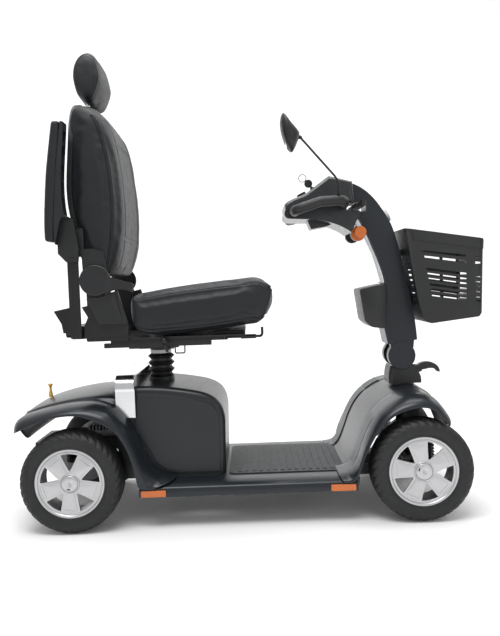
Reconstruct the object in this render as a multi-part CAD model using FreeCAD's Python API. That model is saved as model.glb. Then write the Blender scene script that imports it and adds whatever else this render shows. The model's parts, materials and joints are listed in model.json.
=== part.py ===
import FreeCAD, Part
import os, math
from FreeCAD import Vector as V

# Mobility scooter, four wheels. Millimetres, +X forward, +Z up, ground at z = 0,
# right-hand side of the rider at -Y. Built about the middle of the wheelbase and
# then shifted by XC so that the origin is under the centre of the whole box.
os.makedirs("parts", exist_ok=True)

# ---- driving dimensions ----
XC = 39.0                 # shift of the finished model
X_REAR, X_FRONT = -750.0, 828.0
WB2 = 566.7               # half wheelbase
TYRE_R, TYRE_W = 165.0, 118.0
TRACK2 = 258.0            # wheel centre plane
RIM_R, BARREL_IN = 105.0, 101.0
KING_Y = 213.0            # kingpin offset from the middle
CRANK = 65.0              # steering crank length
TILT_X, TILT_Z = 558.0, 511.0
POST_X = -297.0           # seat post axis
RECL_X, RECL_Z = -467.0, 811.0
ARM_X, ARM_Z = -534.0, 886.0
DECK_Z = 147.0
SEAT_W2, BACK_W2 = 242.0, 238.0
BAR_R = 16.5              # padded handlebar
HB_Y = 235.0


# ---- helpers ----
def sealed(shape):
    """True if the faceted skin of shape has every edge shared by exactly two facets."""
    for s in shape.Solids:
        pts, tri = s.tessellate(0.3)
        key = {}
        ids = [key.setdefault((round(p.x, 4), round(p.y, 4), round(p.z, 4)), i) for i, p in enumerate(pts)]
        cnt = {}
        for t in tri:
            a, b, c = [ids[i] for i in t]
            if a == b or b == c or a == c:
                continue
            for e in ((a, b), (b, c), (c, a)):
                e = (min(e), max(e))
                cnt[e] = cnt.get(e, 0) + 1
        if any(v != 2 for v in cnt.values()):
            return False
    return True


def sfuse(items):
    """Fuse one by one, keeping a piece apart where the union would not be clean."""
    done = [items[0]]
    for it in items[1:]:
        r = done[0].fuse(it)
        if r.isValid() and len(r.Solids) == 1 and r.Volume > done[0].Volume and sealed(r):
            done[0] = r
        else:
            print("kept apart", len(done))
            done.append(cut(it, *done))
    return done


def mir(s):
    return s.mirror(V(0, 0, 0), V(0, 1, 0))


def box(x0, x1, y0, y1, z0, z1):
    return Part.makeBox(x1 - x0, y1 - y0, z1 - z0, V(x0, y0, z0))


def cyl(x, y, z, d, r, h):
    return Part.makeCylinder(r, h, V(x, y, z), V(*d))


def ycyl(x, z, r, y0, y1):
    return Part.makeCylinder(r, y1 - y0, V(x, y0, z), V(0, 1, 0))


def zcyl(x, y, r, z0, z1):
    return Part.makeCylinder(r, z1 - z0, V(x, y, z0), V(0, 0, 1))


def fuse(*s):
    r = s[0]
    if len(s) > 1:
        r = r.fuse(list(s[1:]))
    try:
        r = r.removeSplitter()
    except Exception:
        pass
    return r


def cut(a, *b):
    r = a.cut(list(b))
    return r


def edges_of(segs, mk):
    out = []
    first = None
    last = None
    for s in segs:
        pts = [mk(*p) for p in s]
        if last is not None and (pts[0] - last).Length > 1e-6:
            out.append(Part.LineSegment(last, pts[0]).toShape())
        if len(pts) == 2:
            out.append(Part.LineSegment(pts[0], pts[1]).toShape())
        elif len(pts) > 2:
            c = Part.BSplineCurve()
            c.interpolate(Points=pts)
            out.append(c.toShape())
        if first is None:
            first = pts[0]
        last = pts[-1]
    if (last - first).Length > 1e-6:
        out.append(Part.LineSegment(last, first).toShape())
    return out


def ext(segs, y0, y1):
    """Closed outline in XZ, lines (2 points) and splines (more), pulled along Y."""
    w = Part.Wire(edges_of(segs, lambda x, z: V(x, y0, z)))
    return Part.Face(w).extrude(V(0, y1 - y0, 0))


def poly(pts, y0, y1):
    w = Part.makePolygon([V(x, y0, z) for x, z in pts] + [V(pts[0][0], y0, pts[0][1])])
    return Part.Face(w).extrude(V(0, y1 - y0, 0))


def extx(segs, x0, x1):
    """Closed outline in YZ pulled along X."""
    w = Part.Wire(edges_of(segs, lambda y, z: V(x0, y, z)))
    return Part.Face(w).extrude(V(x1 - x0, 0, 0))


def extz(segs, z0, z1):
    w = Part.Wire(edges_of(segs, lambda x, y: V(x, y, z0)))
    return Part.Face(w).extrude(V(0, 0, z1 - z0))


def off(pts, t):
    """Points moved t to the left of the direction of travel."""
    n = len(pts)
    out = []
    for i in range(n):
        a = pts[max(0, i - 1)]
        b = pts[min(n - 1, i + 1)]
        dx, dz = b[0] - a[0], b[1] - a[1]
        l = math.hypot(dx, dz)
        out.append((pts[i][0] - dz / l * t, pts[i][1] + dx / l * t))
    return out


def strip(pts, t, y0, y1, t0=0.0):
    a = off(pts, t0) if t0 else list(pts)
    b = off(pts, t0 + t)
    return ext([a, list(reversed(b))], y0, y1)


def smooth(pts, n=3):
    """Extra points on a smooth curve through pts."""
    q = [pts[0]] + list(pts) + [pts[-1]]
    out = []
    for i in range(1, len(q) - 2):
        for k in range(n):
            t = k / float(n)
            out.append(tuple(0.5 * (2 * q[i][j] + (q[i + 1][j] - q[i - 1][j]) * t
                                    + (2 * q[i - 1][j] - 5 * q[i][j] + 4 * q[i + 1][j] - q[i + 2][j]) * t * t
                                    + (3 * q[i][j] - q[i - 1][j] - 3 * q[i + 1][j] + q[i + 2][j]) * t ** 3) for j in (0, 1)))
    out.append(tuple(pts[-1]))
    return out


def pstrip(pts, t, y0, y1):
    """Sheet of thickness t in short flat facets."""
    a = smooth(pts)
    return poly(a + list(reversed(off(a, t))), y0, y1)


def pipe(pts, r, bend):
    """Round bar along straight runs with tangent arcs."""
    p = [V(*q) for q in pts]
    edges = []
    start = p[0]
    for i in range(1, len(p) - 1):
        a, b, c = p[i - 1], p[i], p[i + 1]
        u = (a - b).normalize()
        w = (c - b).normalize()
        ang = u.getAngle(w)
        d = bend / math.tan(ang / 2.0)
        t1 = b + u * d
        t2 = b + w * d
        m = (u + w).normalize()
        cen = b + m * (bend / math.sin(ang / 2.0))
        mid = cen - m * bend
        if (t1 - start).Length > 1e-4:
            edges.append(Part.LineSegment(start, t1).toShape())
        edges.append(Part.Arc(t1, mid, t2).toShape())
        start = t2
    edges.append(Part.LineSegment(start, p[-1]).toShape())
    path = Part.Wire(edges)
    d0 = (p[1] - p[0]).normalize()
    prof = Part.Wire([Part.makeCircle(r, p[0], d0)])
    return path.makePipeShell([prof], True, False)


def rev(pts, cx, cz, cy=0.0):
    """(radius, y) outline turned about a Y axis through (cx, cz)."""
    w = Part.makePolygon([V(cx + r, cy + y, cz) for r, y in pts] + [V(cx + pts[0][0], cy + pts[0][1], cz)])
    return Part.Face(w).revolve(V(cx, 0, cz), V(0, 1, 0), 360)


def revz(pts, cx, cy):
    w = Part.makePolygon([V(cx + r, cy, z) for r, z in pts] + [V(cx + pts[0][0], cy, pts[0][1])])
    return Part.Face(w).revolve(V(cx, cy, 0), V(0, 0, 1), 360)


def fil(s, r, pick):
    try:
        es = [e for e in s.Edges if pick(e)]
        f = s.makeFillet(r, es)
        if f.isValid() and f.Volume > 0:
            return f
    except Exception:
        pass
    print("fillet skipped", r)
    return s


def along_y(e):
    return len(e.Vertexes) == 2 and abs(abs(e.Vertexes[1].Y - e.Vertexes[0].Y) - e.Length) < 1e-3


def along_z(e):
    return len(e.Vertexes) == 2 and abs(abs(e.Vertexes[1].Z - e.Vertexes[0].Z) - e.Length) < 1e-3


def on_y(y):
    return lambda e: abs(e.BoundBox.YMin - y) < 0.01 and abs(e.BoundBox.YMax - y) < 0.01


NODES = {}


def save(name, *shapes):
    sol = []
    for s in shapes:
        sol += s.Solids
    sol = [s for s in sol if s.Volume > 1.0]
    sh = sol[0] if len(sol) == 1 else Part.makeCompound(sol)
    sh.translate(V(-XC, 0, 0))
    NODES[name] = sh
    sh.exportStep("parts/%s.step" % name)
    if not sh.isValid():
        print("INVALID", name)


# ---- wheels ----
def tyre(x, s):
    p = [(105.4, -40.5), (110.6, -49.2), (122, -56), (138, -59), (150, -57), (158, -51), (163, -40), (165, -22),
         (165, 22), (163, 40), (158, 51), (150, 57), (138, 59), (122, 56), (110.6, 49.2), (105.4, 40.5)]
    t = rev(p, x, TYRE_R, s * TRACK2)
    for k in range(24):
        a = math.radians(k * 15 + 4)
        for q in (-1, 1):
            g = box(-4, 4, -11, 11, -7, 7)
            g.rotate(V(0, 0, 0), V(0, 0, 1), q * 25)
            g.translate(V(0, q * 50, 162))
            g.rotate(V(0, 0, 0), V(0, 1, 0), math.degrees(a) + (7.5 if q > 0 else 0))
            g.translate(V(x, s * TRACK2, TYRE_R))
            t = t.cut(g)
    return t


def rim(x, s, turn, bore):
    # local +Y is the outer side here, mirrored for the right-hand wheels
    barrel = rev([(BARREL_IN, -46), (BARREL_IN, 44), (108, 52), (112, 52), (112, 50.6), (109.8, 50.2), (RIM_R, 41), (RIM_R, -41),
                  (109.8, -50.2), (112, -50.6), (112, -52), (108, -52)], 0, 0)
    disc = Part.makeCylinder(102.5, 9, V(0, 43, 0), V(0, 1, 0))
    for k in range(5):
        w = Part.makePolygon([V(40, 40, 0), V(76, 40, -27), V(93, 40, -22), V(95, 40, 0), V(93, 40, 22), V(76, 40, 27), V(40, 40, 0)])
        g = Part.Face(w).extrude(V(0, 15, 0))
        g = fil(g, 5, along_y)
        g.rotate(V(0, 0, 0), V(0, 1, 0), 36 + 72 * k)
        disc = disc.cut(g)
        pad = box(84, 97, 50.6, 53, -14, 14)
        pad.rotate(V(0, 0, 0), V(0, 1, 0), 72 * k)
        disc = disc.cut(pad)
    hub = Part.makeCylinder(24, 56, V(0, -12, 0), V(0, 1, 0))
    cap = Part.makeCone(28, 26, 3.5, V(0, 51, 0), V(0, 1, 0))
    r = fuse(barrel, disc, hub, cap)
    r = r.cut(Part.makeCylinder(bore, 56, V(0, -13, 0), V(0, 1, 0)))
    r = r.cut(box(-4, 4, 53.6, 56, -24, -20))
    r.rotate(V(0, 0, 0), V(0, 1, 0), turn)
    r.translate(V(0, TRACK2, 0))
    if s < 0:
        r = mir(r)
    r.translate(V(x, 0, TYRE_R))
    return r


# spoke at local +X; a turn of -a about Y lifts it by a
for nm, x, s, turn in (("rear_right", -WB2, -1, -53), ("rear_left", -WB2, 1, -53),
                       ("front_right", WB2, -1, -29), ("front_left", WB2, 1, -29)):
    save("tyre_" + nm, tyre(x, s))
    save("rim_" + nm, rim(x, s, turn, 10.05))

# ---- frame ----
fr = []
for s in (-1, 1):
    r = poly([(-735, 226), (-430, 226), (-352, 104), (625, 104), (625, 134), (-336, 134), (-414, 256), (-735, 256)], 60, 100)
    fr.append(r if s > 0 else mir(r))
fr += [box(-735, -705, -100, 100, 226, 256), box(-345, -85, -178, 178, 134, 138), box(-347, -317, -100, 100, 104, 134),
       box(330, 350, -240, 240, 112, 134), box(60, 80, -240, 240, 112, 134), box(547, 587, -205, 205, 147, 183), box(540, 594, -100, 100, 130, 150),
       box(592, 625, -22, 22, 134, 352), box(578, 600, -22, 22, 232, 352), zcyl(567, 0, 24, 228, 360),
       zcyl(POST_X, 0, 31, 138, 440), box(-432, -412, -100, 100, 226, 330), box(-415, -322, -8, 8, 290, 330),
       box(-570, -445, -100, 100, 252, 260), box(595, 625, -100, 100, 104, 134), box(-640, -560, -160, 160, 234, 252)]
for s in (-1, 1):
    fr.append(zcyl(567, s * KING_Y, 16, 147, 183))
frame = fuse(*fr)
frame = cut(frame, zcyl(567, 0, 14.05, 200, 400), zcyl(POST_X, 0, 25.05, 150, 445),
            zcyl(567, KING_Y, 8.05, 130, 200), zcyl(567, -KING_Y, 8.05, 130, 200),
            ycyl(-655, 165, 51.5, -70, 70), ycyl(-WB2, 165, 64, -59, 59))
for y in (-50, 50):
    frame = cut(frame, cyl(-745, y, 241, (1, 0, 0), 8, 50), cyl(585, y, 119, (1, 0, 0), 8, 50))
shocks = []
for s in (-1, 1):
    b = cyl(-600, s * 134, 191, (0, 0, 1), 9, 42)
    rings = [Part.makeTorus(17, 3, V(-600, s * 134, 197 + 8 * k), V(0, 0, 1)) for k in range(5)]
    shocks += [b] + rings
    b = cyl(641, s * 78, 138, (0, 0, 1), 8, 150)
    rings = [Part.makeTorus(16, 3, V(641, s * 78, 150 + 11 * k), V(0, 0, 1)) for k in range(11)]
    shocks += [b] + rings
    shocks.append(box(625.1, 655, s * 78 - 12, s * 78 + 12, 126, 137.8))
save("frame", frame, *shocks)

# ---- transaxle, batteries, controller ----
tx = fuse(ycyl(-WB2, 165, 62, -46, 46), ycyl(-WB2, 165, 24, -190, 190), ycyl(-WB2, 165, 9.95, -296, 296),
          ycyl(-655, 165, 50, -58, 66), box(-655, -566, -38, 38, 120, 210))
save("transaxle", tx)
bat = []
for s in (-1, 1):
    b = box(-257, -92, 8, 180, 138.2, 296)
    b = fil(b, 6, along_z)
    b = fuse(b, zcyl(-235, 40, 7, 295, 303), zcyl(-115, 40, 7, 295, 303))
    bat.append(b if s > 0 else mir(b))
save("batteries", *bat)
ct = box(-562, -453, -56, 56, 260.2, 282)
fins = [box(-558 + 12 * k, -553 + 12 * k, -54, 54, 281, 300) for k in range(9)]
save("controller", fuse(ct, *fins))

# ---- floor deck, mat, reflectors ----
sk = [(287, 104), (287, 128), (280, 137), (252, DECK_Z), (-252, DECK_Z), (-280, 137), (-287, 128), (-287, 104),
      (-283, 104), (-283, 127), (-277, 134), (-251, 142), (251, 142), (277, 134), (283, 127), (283, 104)]
w = Part.makePolygon([V(-350, y, z) for y, z in sk] + [V(-350, sk[0][0], sk[0][1])])
deck = Part.Face(w).extrude(V(708, 0, 0))
deck = cut(deck, box(-360, -86, -200, 200, 100, 160))
end = poly([(352, 104), (358, 104), (366, 148), (358, 148)], -287, 287)
deck = fuse(deck, cut(end, box(340, 380, -101, 101, 100, 134.5)))
deck = cut(deck, box(355, 380, -300, 300, 147, 160))
save("floor_deck", deck.copy())
mat = box(-60, 342, -197, 197, DECK_Z + 0.05, 150.4)
mat = fil(mat, 24, along_z)
ribs = [box(-30 + 24 * k, -18 + 24 * k, -176, 176, 150.3, 152.2) for k in range(15)]
matt = fuse(mat, *ribs)
save("floor_mat", matt.copy())
refl = []
for s in (-1, 1):
    for x0 in (-343, 271):
        b = box(x0, x0 + 80, 287.1, 292.5, 107, 127.5)
        b = fil(b, 3, along_y)
        refl.append(b if s > 0 else mir(b))
    b = cyl(X_REAR + 20, 120, 357, (-1, 0, 0), 16, 19)
    refl.append(b if s > 0 else mir(b))
save("reflectors", *refl)

# ---- battery cover and side doors ----
cov = [[(-429.7, 142.5), (-429.7, 446)], [(-429.7, 446), (-351, 452), (-255, 446), (-179, 434), (-122, 418), (-88, 394), (-72, 362), (-67, 312)],
       [(-67, 312), (-70, 147.3)], [(-70, 147.3), (-85.8, 147.3)], [(-85.8, 147.3), (-85.8, 142.5)]]
cover = ext(cov, -190, 190)
cover = fil(cover, 22, lambda e: (on_y(-190)(e) or on_y(190)(e)) and e.BoundBox.ZMax > 300 and e.BoundBox.XMax > -300 and e.BoundBox.XMin > -430)
inn = ext([[(-440, 130), (-440, 441)], [(-440, 441), (-351, 447), (-255, 441), (-181, 429), (-126, 413), (-93, 390), (-77, 360), (-72, 312)],
           [(-72, 312), (-75, 130)]], -185, 185)
inn = fil(inn, 18, lambda e: (on_y(-185)(e) or on_y(185)(e)) and e.BoundBox.ZMax > 300 and e.BoundBox.XMax > -300)
cover = cut(cover, inn)
cover = fuse(cover, zcyl(POST_X, 0, 46, 444, 463))
cover = cut(cover, zcyl(POST_X, 0, 33.5, 430, 470))
save("battery_cover", cover)
seam = [(-360, 428), (-371, 306), (-319, 232), (-304, 196), (-267, 167), (-233, 157), (-89, 157), (-86, 327), (-90, 358), (-106, 380), (-126, 392),
        (-175, 406), (-277, 424)]
door = poly(seam, 190.1, 193.6)
door = fil(door, 2, on_y(193.6))
save("battery_doors", door, mir(door))

# ---- silver hoop ----
ho = [[(207, 352), (212, 352)], [(212, 352), (212, 440)], [(212, 440), (208, 468), (190, 486), (160, 489)], [(160, 489), (-160, 489)],
      [(-160, 489), (-190, 486), (-208, 468), (-212, 440)], [(-212, 440), (-212, 352)], [(-212, 352), (-207, 352)], [(-207, 352), (-207, 440)],
      [(-207, 440), (-203.5, 465), (-188, 481), (-160, 484)], [(-160, 484), (160, 484)], [(160, 484), (188, 481), (203.5, 465), (207, 440)], [(207, 440), (207, 352)]]
hoop = extx(ho, -428, -363)
hoop = cut(hoop, poly([(-370, 500), (-350, 500), (-350, 440), (-363, 440)], -300, 300))
save("silver_hoop", hoop)

# ---- rear shroud ----
def zc(x):
    t = [(-750, 350), (-735, 368), (-700, 384), (-630, 403), (-560, 415), (-500, 421), (-430, 423)]
    for (a, b), (c, d) in zip(t, t[1:]):
        if a <= x <= c:
            return b + (d - b) * (x - a) / (c - a)
    return 423.0


def zf(x):
    t = [(-750, 322), (-732, 334), (-700, 350), (-637, 374), (-576, 384), (-527, 381), (-475, 364), (-431, 338)]
    for (a, b), (c, d) in zip(t, t[1:]):
        if a <= x <= c:
            return b + (d - b) * (x - a) / (c - a)
    return 338.0


def sect(x):
    a, b = zc(x), zf(x)
    yo = 305.0 if x > -700 else (300.0 if x > -740 else 262.0)
    up = [(0, a + 13), (90, a + 11), (150, a + 6), (185, a - 2), (225, b + 0.62 * (a - b)), (268, b + 0.25 * (a - b)), (yo, b)]
    lo = [(yo - 1, b - 6), (264, b + 0.25 * (a - b) - 6), (221, b + 0.62 * (a - b) - 6), (182, a - 9), (148, a), (88, a + 5), (0, a + 7)]
    full = up + lo
    left = [(-y, z) for y, z in reversed(full[1:-1])]
    ring = full[:7] + full[7:] + left
    pts = [V(x, y, z) for y, z in ring]
    return Part.makePolygon(pts + [pts[0]])


secs = [sect(x) for x in (-750, -735, -700, -630, -560, -500, -455, -430.3)]
shell = Part.makeLoft(secs, True, True)
apron = poly([(-749, 349), (-741, 352), (-718, 300), (-724, 298)], -180, 180)
band = pstrip([(-431, 338), (-415, 330), (-398, 316), (-383, 286), (-363, 229), (-352.5, 178), (-351.5, 150), (-351, 104)], 5, 287.5, 304)
side = poly([(-429, 337), (-401, 348), (-371, 306), (-345, 262), (-330, 215), (-315, 172), (-265, 153), (-240, 147.3), (-350.2, 147.3), (-352.5, 178), (-363, 229), (-383, 286), (-398, 316), (-415, 330)], 196, 287)
side = cut(side, poly([(-429, 337), (-401, 348), (-371, 306), (-345, 262), (-330, 215), (-315, 172), (-265, 153), (-240, 147.3), (-350.2, 147.3), (-352.5, 178), (-363, 229), (-383, 286), (-398, 316), (-415, 330)], 190, 282)
           .common(box(-500, -356, 190, 282, 147, 400)))
shroud = fuse(shell, apron)
shroud = cut(shroud, cyl(X_REAR - 10, 120, 357, (1, 0, 0), 16.3, 32), cyl(X_REAR - 10, -120, 357, (1, 0, 0), 16.3, 32), box(-724, -680, -9, 9, 340, 440), ycyl(-WB2, TYRE_R, 172, 195, 400), ycyl(-WB2, TYRE_R, 172, -400, -195))
side = cut(side, shroud)
band = cut(band, shroud)
band = cut(band, side)
save("rear_shroud", *(list(shroud.Solids) + [side, band, mir(side), mir(band)]))

# ---- freewheel lever ----
lev = fuse(zcyl(-702, 0, 4.5, 366, 432), fil(zcyl(-702, 0, 13, 424, 446), 4, lambda e: True), ycyl(-702, 366, 7, -14, 14))
save("freewheel_lever", lev)

# ---- front shroud, trim band ----
prof = [(330, 147.4), (352, 172), (372, 215), (390, 265), (415, 315), (447, 352), (480, 378), (520, 398), (567, 408), (600, 405), (633, 387), (663, 352), (689, 312), (712, 255), (722, 205)]
ce = cut(pstrip(prof[:11], -5, -150, 150), zcyl(567, 0, 47, 380, 440))
nose = cut(pstrip(prof[9:], -5, -95, 95), ce, zcyl(567, 0, 47, 340, 440))
low = pstrip(prof[:6], -5, 150, 246)
fen = cut(pstrip([(447, 352), (462, 378), (484, 396), (520, 403), (572, 395), (615, 375), (655, 330)], -5, 150, 296), low)
lip = poly(smooth([(400, 290), (418, 335), (438, 367), (466, 394), (492, 400), (520, 403), (572, 393), (615, 373), (654, 328)])
           + smooth([(636, 330), (606, 362), (563, 370), (512, 363), (464, 336), (428, 295)]), 296, 302)
wall2 = cut(pstrip([(362, 147.4), (370, 178), (386, 226), (404, 268), (424, 305), (445, 340)], 5, 246, 296), fen)
half = [fen, cut(lip, fen), cut(wall2, fen), cut(low, fen, wall2)]
fs_ = [ce, nose] + [cut(q, ce, nose) for q in half]
fs_ += [mir(q) for q in fs_[2:]]
collar = cut(zcyl(567, 0, 62, 385, 411.6), zcyl(567, 0, 47, 380, 440))
fs_ = [cut(q, collar, deck, matt) for q in fs_] + [collar]
save("front_shroud", *[q for f in fs_ for q in f.copy().Solids if q.Volume > 400])
tb = pstrip([(336, 155), (352, 172), (372, 215), (390, 265), (415, 315), (447, 352), (480, 378), (512, 395)], 3, 158, 232)
tb = cut(tb, *fs_)
save("front_trim_band", *([q for q in tb.Solids if q.Volume > 500] + [mir(q) for q in tb.Solids if q.Volume > 500]))

# ---- knuckles, tie rod, steering ----
for nm, s in (("right", -1), ("left", 1)):
    k = [box(549, 585, KING_Y - 16, KING_Y + 28, 183.5, 195.5), box(549, 585, KING_Y - 16, KING_Y + 28, 134.5, 146.5),
         box(549, 585, KING_Y + 18, KING_Y + 28, 134.5, 195.5), zcyl(567, KING_Y, 7.95, 134.5, 198), ycyl(WB2, 165, 9.8, KING_Y + 20, 293),
         box(502, 567, KING_Y - 8, KING_Y + 8, 183.5, 195.5), zcyl(502, KING_Y, 12, 183.5, 195.5), zcyl(502, KING_Y, 5, 195, 214)]
    k = fuse(*k)
    save("knuckle_" + nm, k if s > 0 else mir(k))
rod = Part.makeCylinder(6, 2 * KING_Y, V(502, -KING_Y, 204), V(0, 1, 0))
tr = fuse(rod, zcyl(502, KING_Y, 11, 197, 211), zcyl(502, -KING_Y, 11, 197, 211), zcyl(502, 0, 11, 197, 211))
tr = cut(tr, zcyl(502, KING_Y, 5.05, 190, 220), zcyl(502, -KING_Y, 5.05, 190, 220), zcyl(502, 0, 5.05, 190, 220))
save("tie_rod", tr)
base = ext([[(513, 412), (512, 430), (515, 458), (522, 478)], [(522, 478), (600, 478)], [(600, 478), (612, 458)], [(612, 458), (622, 442), (625, 412)], [(625, 412), (513, 412)]], -54, 54)
base = fil(base, 16, lambda e: (on_y(-54)(e) or on_y(54)(e)) and e.BoundBox.ZMax < 479 and e.BoundBox.XMin < 560 and e.BoundBox.ZMin < 470 and e.BoundBox.ZMax > 415)
base = cut(base, ycyl(TILT_X, TILT_Z, 50, -60, 60))
base = fuse(base, ycyl(TILT_X, TILT_Z, 38, -28, 28), box(540, 578, -28, 28, 455, 500), zcyl(567, 0, 13.95, 183.5, 385), zcyl(567, 0, 20, 183.5, 224),
            box(502, 567, -9, 9, 183.5, 195.5), zcyl(502, 0, 12, 183.5, 195.5), zcyl(502, 0, 5, 195, 214), zcyl(567, 0, 44, 366, 414))
ears = [poly([(606, 440), (636, 448), (638, 462), (630, 470), (614, 470), (600, 455)], 15, 20)]
base = fuse(base, ears[0], mir(ears[0]))
base = cut(base, ycyl(TILT_X, TILT_Z, 10.05, -60, 60), ycyl(626, 460, 4.05, -30, 30), box(608, 650, -14.9, 14.9, 446, 480))
save("steering_base", base)
tl = fuse(ycyl(626, 460, 10, -14, 14), ycyl(626, 460, 4, -21, 21),
          cut(ext([[(618, 463), (649, 480), (680, 476), (694, 466), (703, 443)], [(703, 443), (694, 444)], [(694, 444), (680, 456), (653, 455), (626, 452)]], -13, 13), ycyl(626, 460, 9, -14, 14)))
save("tilt_lever", tl)

# ---- tiller ----
col = [[(614, 566), (607, 640), (600, 686), (591, 732), (577, 790), (563, 868), (548, 925), (532, 973), (505, 1022), (473, 1066), (436, 1100), (394, 1121)],
       [(394, 1121), (400, 1050)], [(400, 1050), (417, 1003), (441, 958), (462, 908), (484, 853), (508, 769), (509, 700), (499, 640), (500, 606)], [(500, 606), (510, 553)], [(510, 553), (540, 552)], [(540, 552), (585, 560)]]
column = ext(col, -56, 56)
column = fil(column, 20, lambda e: (on_y(-56)(e) or on_y(56)(e)) and e.Length > 400)
column = cut(column, ycyl(TILT_X, TILT_Z, 56, -70, 70))
cheek = fuse(ycyl(TILT_X, TILT_Z, 48, 29, 60), poly([(525, 520), (598, 520), (608, 600), (512, 600)], 29, 55))
cheek = cut(cheek, ycyl(TILT_X, TILT_Z, 40, 0, 28))
column = fuse(column, cheek, mir(cheek), ycyl(TILT_X, TILT_Z, 10, -40, 40))
column = cut(column, box(378, 446, -70, 70, 1021, 1052))
save("tiller_column", column)
tt = ext([[(416.8, 1003), (440.8, 958), (461.8, 908), (483.8, 853), (507.8, 769.5)], [(507.8, 769.5), (492, 768)], [(492, 768), (478, 822), (466, 862), (447, 908), (426, 950), (405, 985)]], -44, 44)
tt = cut(tt, column)

tbx = ext([[(386, 745), (504, 767.5)], [(504, 767.5), (507.5, 767.5), (507.5, 700), (498, 640), (499, 607)], [(499, 607), (447, 614)], [(447, 614), (440, 628)], [(440, 628), (407, 632)]], -78, 78)
tbx = cut(tbx, column.copy())
tbx = fil(tbx, 9, lambda e: (on_y(-78)(e) or on_y(78)(e)) and e.BoundBox.XMax < 505)
column_world = column
save("tiller_box", tbx)
cu = [[(160, 1050), (162, 1031)], [(162, 1031), (300, 1036)], [(300, 1036), (399.5, 1052.5)], [(399.5, 1052.5), (393.5, 1121)], [(393.5, 1121), (313, 1142)], [(313, 1142), (244, 1092)], [(244, 1092), (209, 1075), (186, 1067), (160, 1050)]]
cons = ext(cu, -108, 108)
cons = fil(cons, 14, lambda e: (on_y(-108)(e) or on_y(108)(e)) and e.BoundBox.ZMin > 1040)
cons_in = poly([(168, 1020), (168, 1046), (209, 1068), (246, 1086), (314, 1135), (386, 1116), (392, 1057), (392, 1020)], -102, 102)
cons = cut(cons, cons_in, box(372, 410, -120, 120, 1021, 1053))
cl = [[(162, 1030.7), (160, 1010), (170, 1001)], [(170, 1001), (198, 999), (290, 990), (340, 974), (388, 946)], [(388, 946), (404.5, 985.5)], [(404.5, 985.5), (416, 1003.4), (399.5, 1050)], [(399.5, 1050), (300, 1035.7)]]
conl = ext(cl, -100, 100)
conl = cut(conl, poly([(168, 1060), (168, 1008), (290, 996), (340, 981), (378, 962), (396, 990), (392, 1060)], -95, 95), box(372, 420, -120, 120, 1021, 1053))
conl = fuse(conl, poly([(241, 996), (253, 966), (308, 974), (330, 982), (300, 996)], -42, 42))
conl = cut(conl, box(100, 600, -56.2, 56.2, 960, 1060).common(ext(col, -56.2, 56.2)))
kn = V(-0.587, 0, 0.81)
kp = V(262, -45, 1105)
cons = cut(cons, Part.makeCylinder(7.1, 60, kp - kn * 40, kn), Part.makeCylinder(8.1, 60, V(231, 10, 1085) - V(-0.437, 0, 0.9) * 40, V(-0.437, 0, 0.9)),
           Part.makeCylinder(8.1, 40, V(196, 50, 1069) - V(-0.35, 0, 0.937) * 20, V(-0.35, 0, 0.937)))
for q in (-1, 1):
    conl = cut(conl, ycyl(412, 942, 25.3, 56 if q > 0 else -102, 102 if q > 0 else -56))
cw, lw = cons.copy(), conl.copy()
save("console_upper", cons)
save("console_lower", conl)
save("tiller_trim", *[q for q in cut(tt, lw).Solids if q.Volume > 500])
key = fuse(Part.makeCylinder(7, 18, kp - kn * 12, kn), Part.makeCylinder(4, 10, kp + kn * 4, kn))
hd = cyl(0, 0, 0, (0, 1, 0), 14, 6)
hd.translate(kp + kn * 24 - V(0, 3, 0))
ring = Part.makeTorus(13, 1.3, kp + kn * 38 + V(-12, 0, 8), V(0, 1, 0))
key = fuse(key, hd, ring)
save("ignition_key", key)
dn = V(-0.437, 0, 0.9)
dp = V(231, 10, 1085)
save("speed_dial", fuse(Part.makeCylinder(8, 22, dp - dn * 14, dn), fil(Part.makeCylinder(17, 12, dp + dn * 2.5, dn), 3, lambda e: e.BoundBox.ZMax > 1095)))
hn = V(-0.35, 0, 0.937)
save("horn_button", fil(Part.makeCylinder(8, 16, V(196, 50, 1069) - hn * 9, hn), 2, lambda e: e.BoundBox.ZMin > 1070))
hb = []
for s in (-1, 1):
    a = pipe([(192, 108.3, 1022), (188, HB_Y, 1016), (270, HB_Y, 1041), (344, HB_Y, 1043), (362, 108.3, 1043)], BAR_R, 32)
    a = a if s > 0 else mir(a)
    hb.append(max(cut(a, cw, lw).Solids, key=lambda q: q.Volume))
save("handlebar", *hb)
pads = fuse(box(396, 424, -150, 150, 1029, 1041), box(404, 420, -205, 205, 1029, 1041), zcyl(412, 205, 9, 1026, 1044), zcyl(412, -205, 9, 1026, 1044))
pads = cut(pads, zcyl(410, 0, 4.05, 1020, 1060))
save("throttle_paddles", pads)
lamps = []
for s in (-1, 1):
    b = fuse(ycyl(412, 942, 25, 56.2, 78), ycyl(418, 947, 21, 78, 100))
    b = fil(b, 5, lambda e: e.BoundBox.YMin > 99)
    b = b.cut(column_world)
    lamps.append(b if s > 0 else mir(b))
hl = cyl(505, 0, 1008, (0.86, 0, 0.5), 34, 22)
hl = hl.cut(ext(col, -56, 56))
lamps.append(hl)
save("tiller_lamps", *lamps)
st = pipe([(329, -HB_Y, 1060), (328, -HB_Y, 1104), (316, -237, 1122), (208, -259, 1243)], 3.5, 9)
st = fuse(st, zcyl(329, -HB_Y, 7, 1060, 1072), Part.makeSphere(6.5, V(208, -259, 1243)))
save("mirror_stem", st)
mh = Part.makeSphere(1.0)
m = FreeCAD.Matrix()
m.scale(26, 50, 66)
mh = mh.transformGeometry(m)
mh = cut(mh, box(-40, -3, -60, 60, -80, 80))
mh.rotate(V(0, 0, 0), V(0, 1, 0), -6)
mh.translate(V(166, -262, 1256))
mb = V(208, -259, 1243)
cup = cut(Part.makeSphere(9.5, mb), box(mb.x - 1, mb.x + 20, -300, -200, 1200, 1300))
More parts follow.
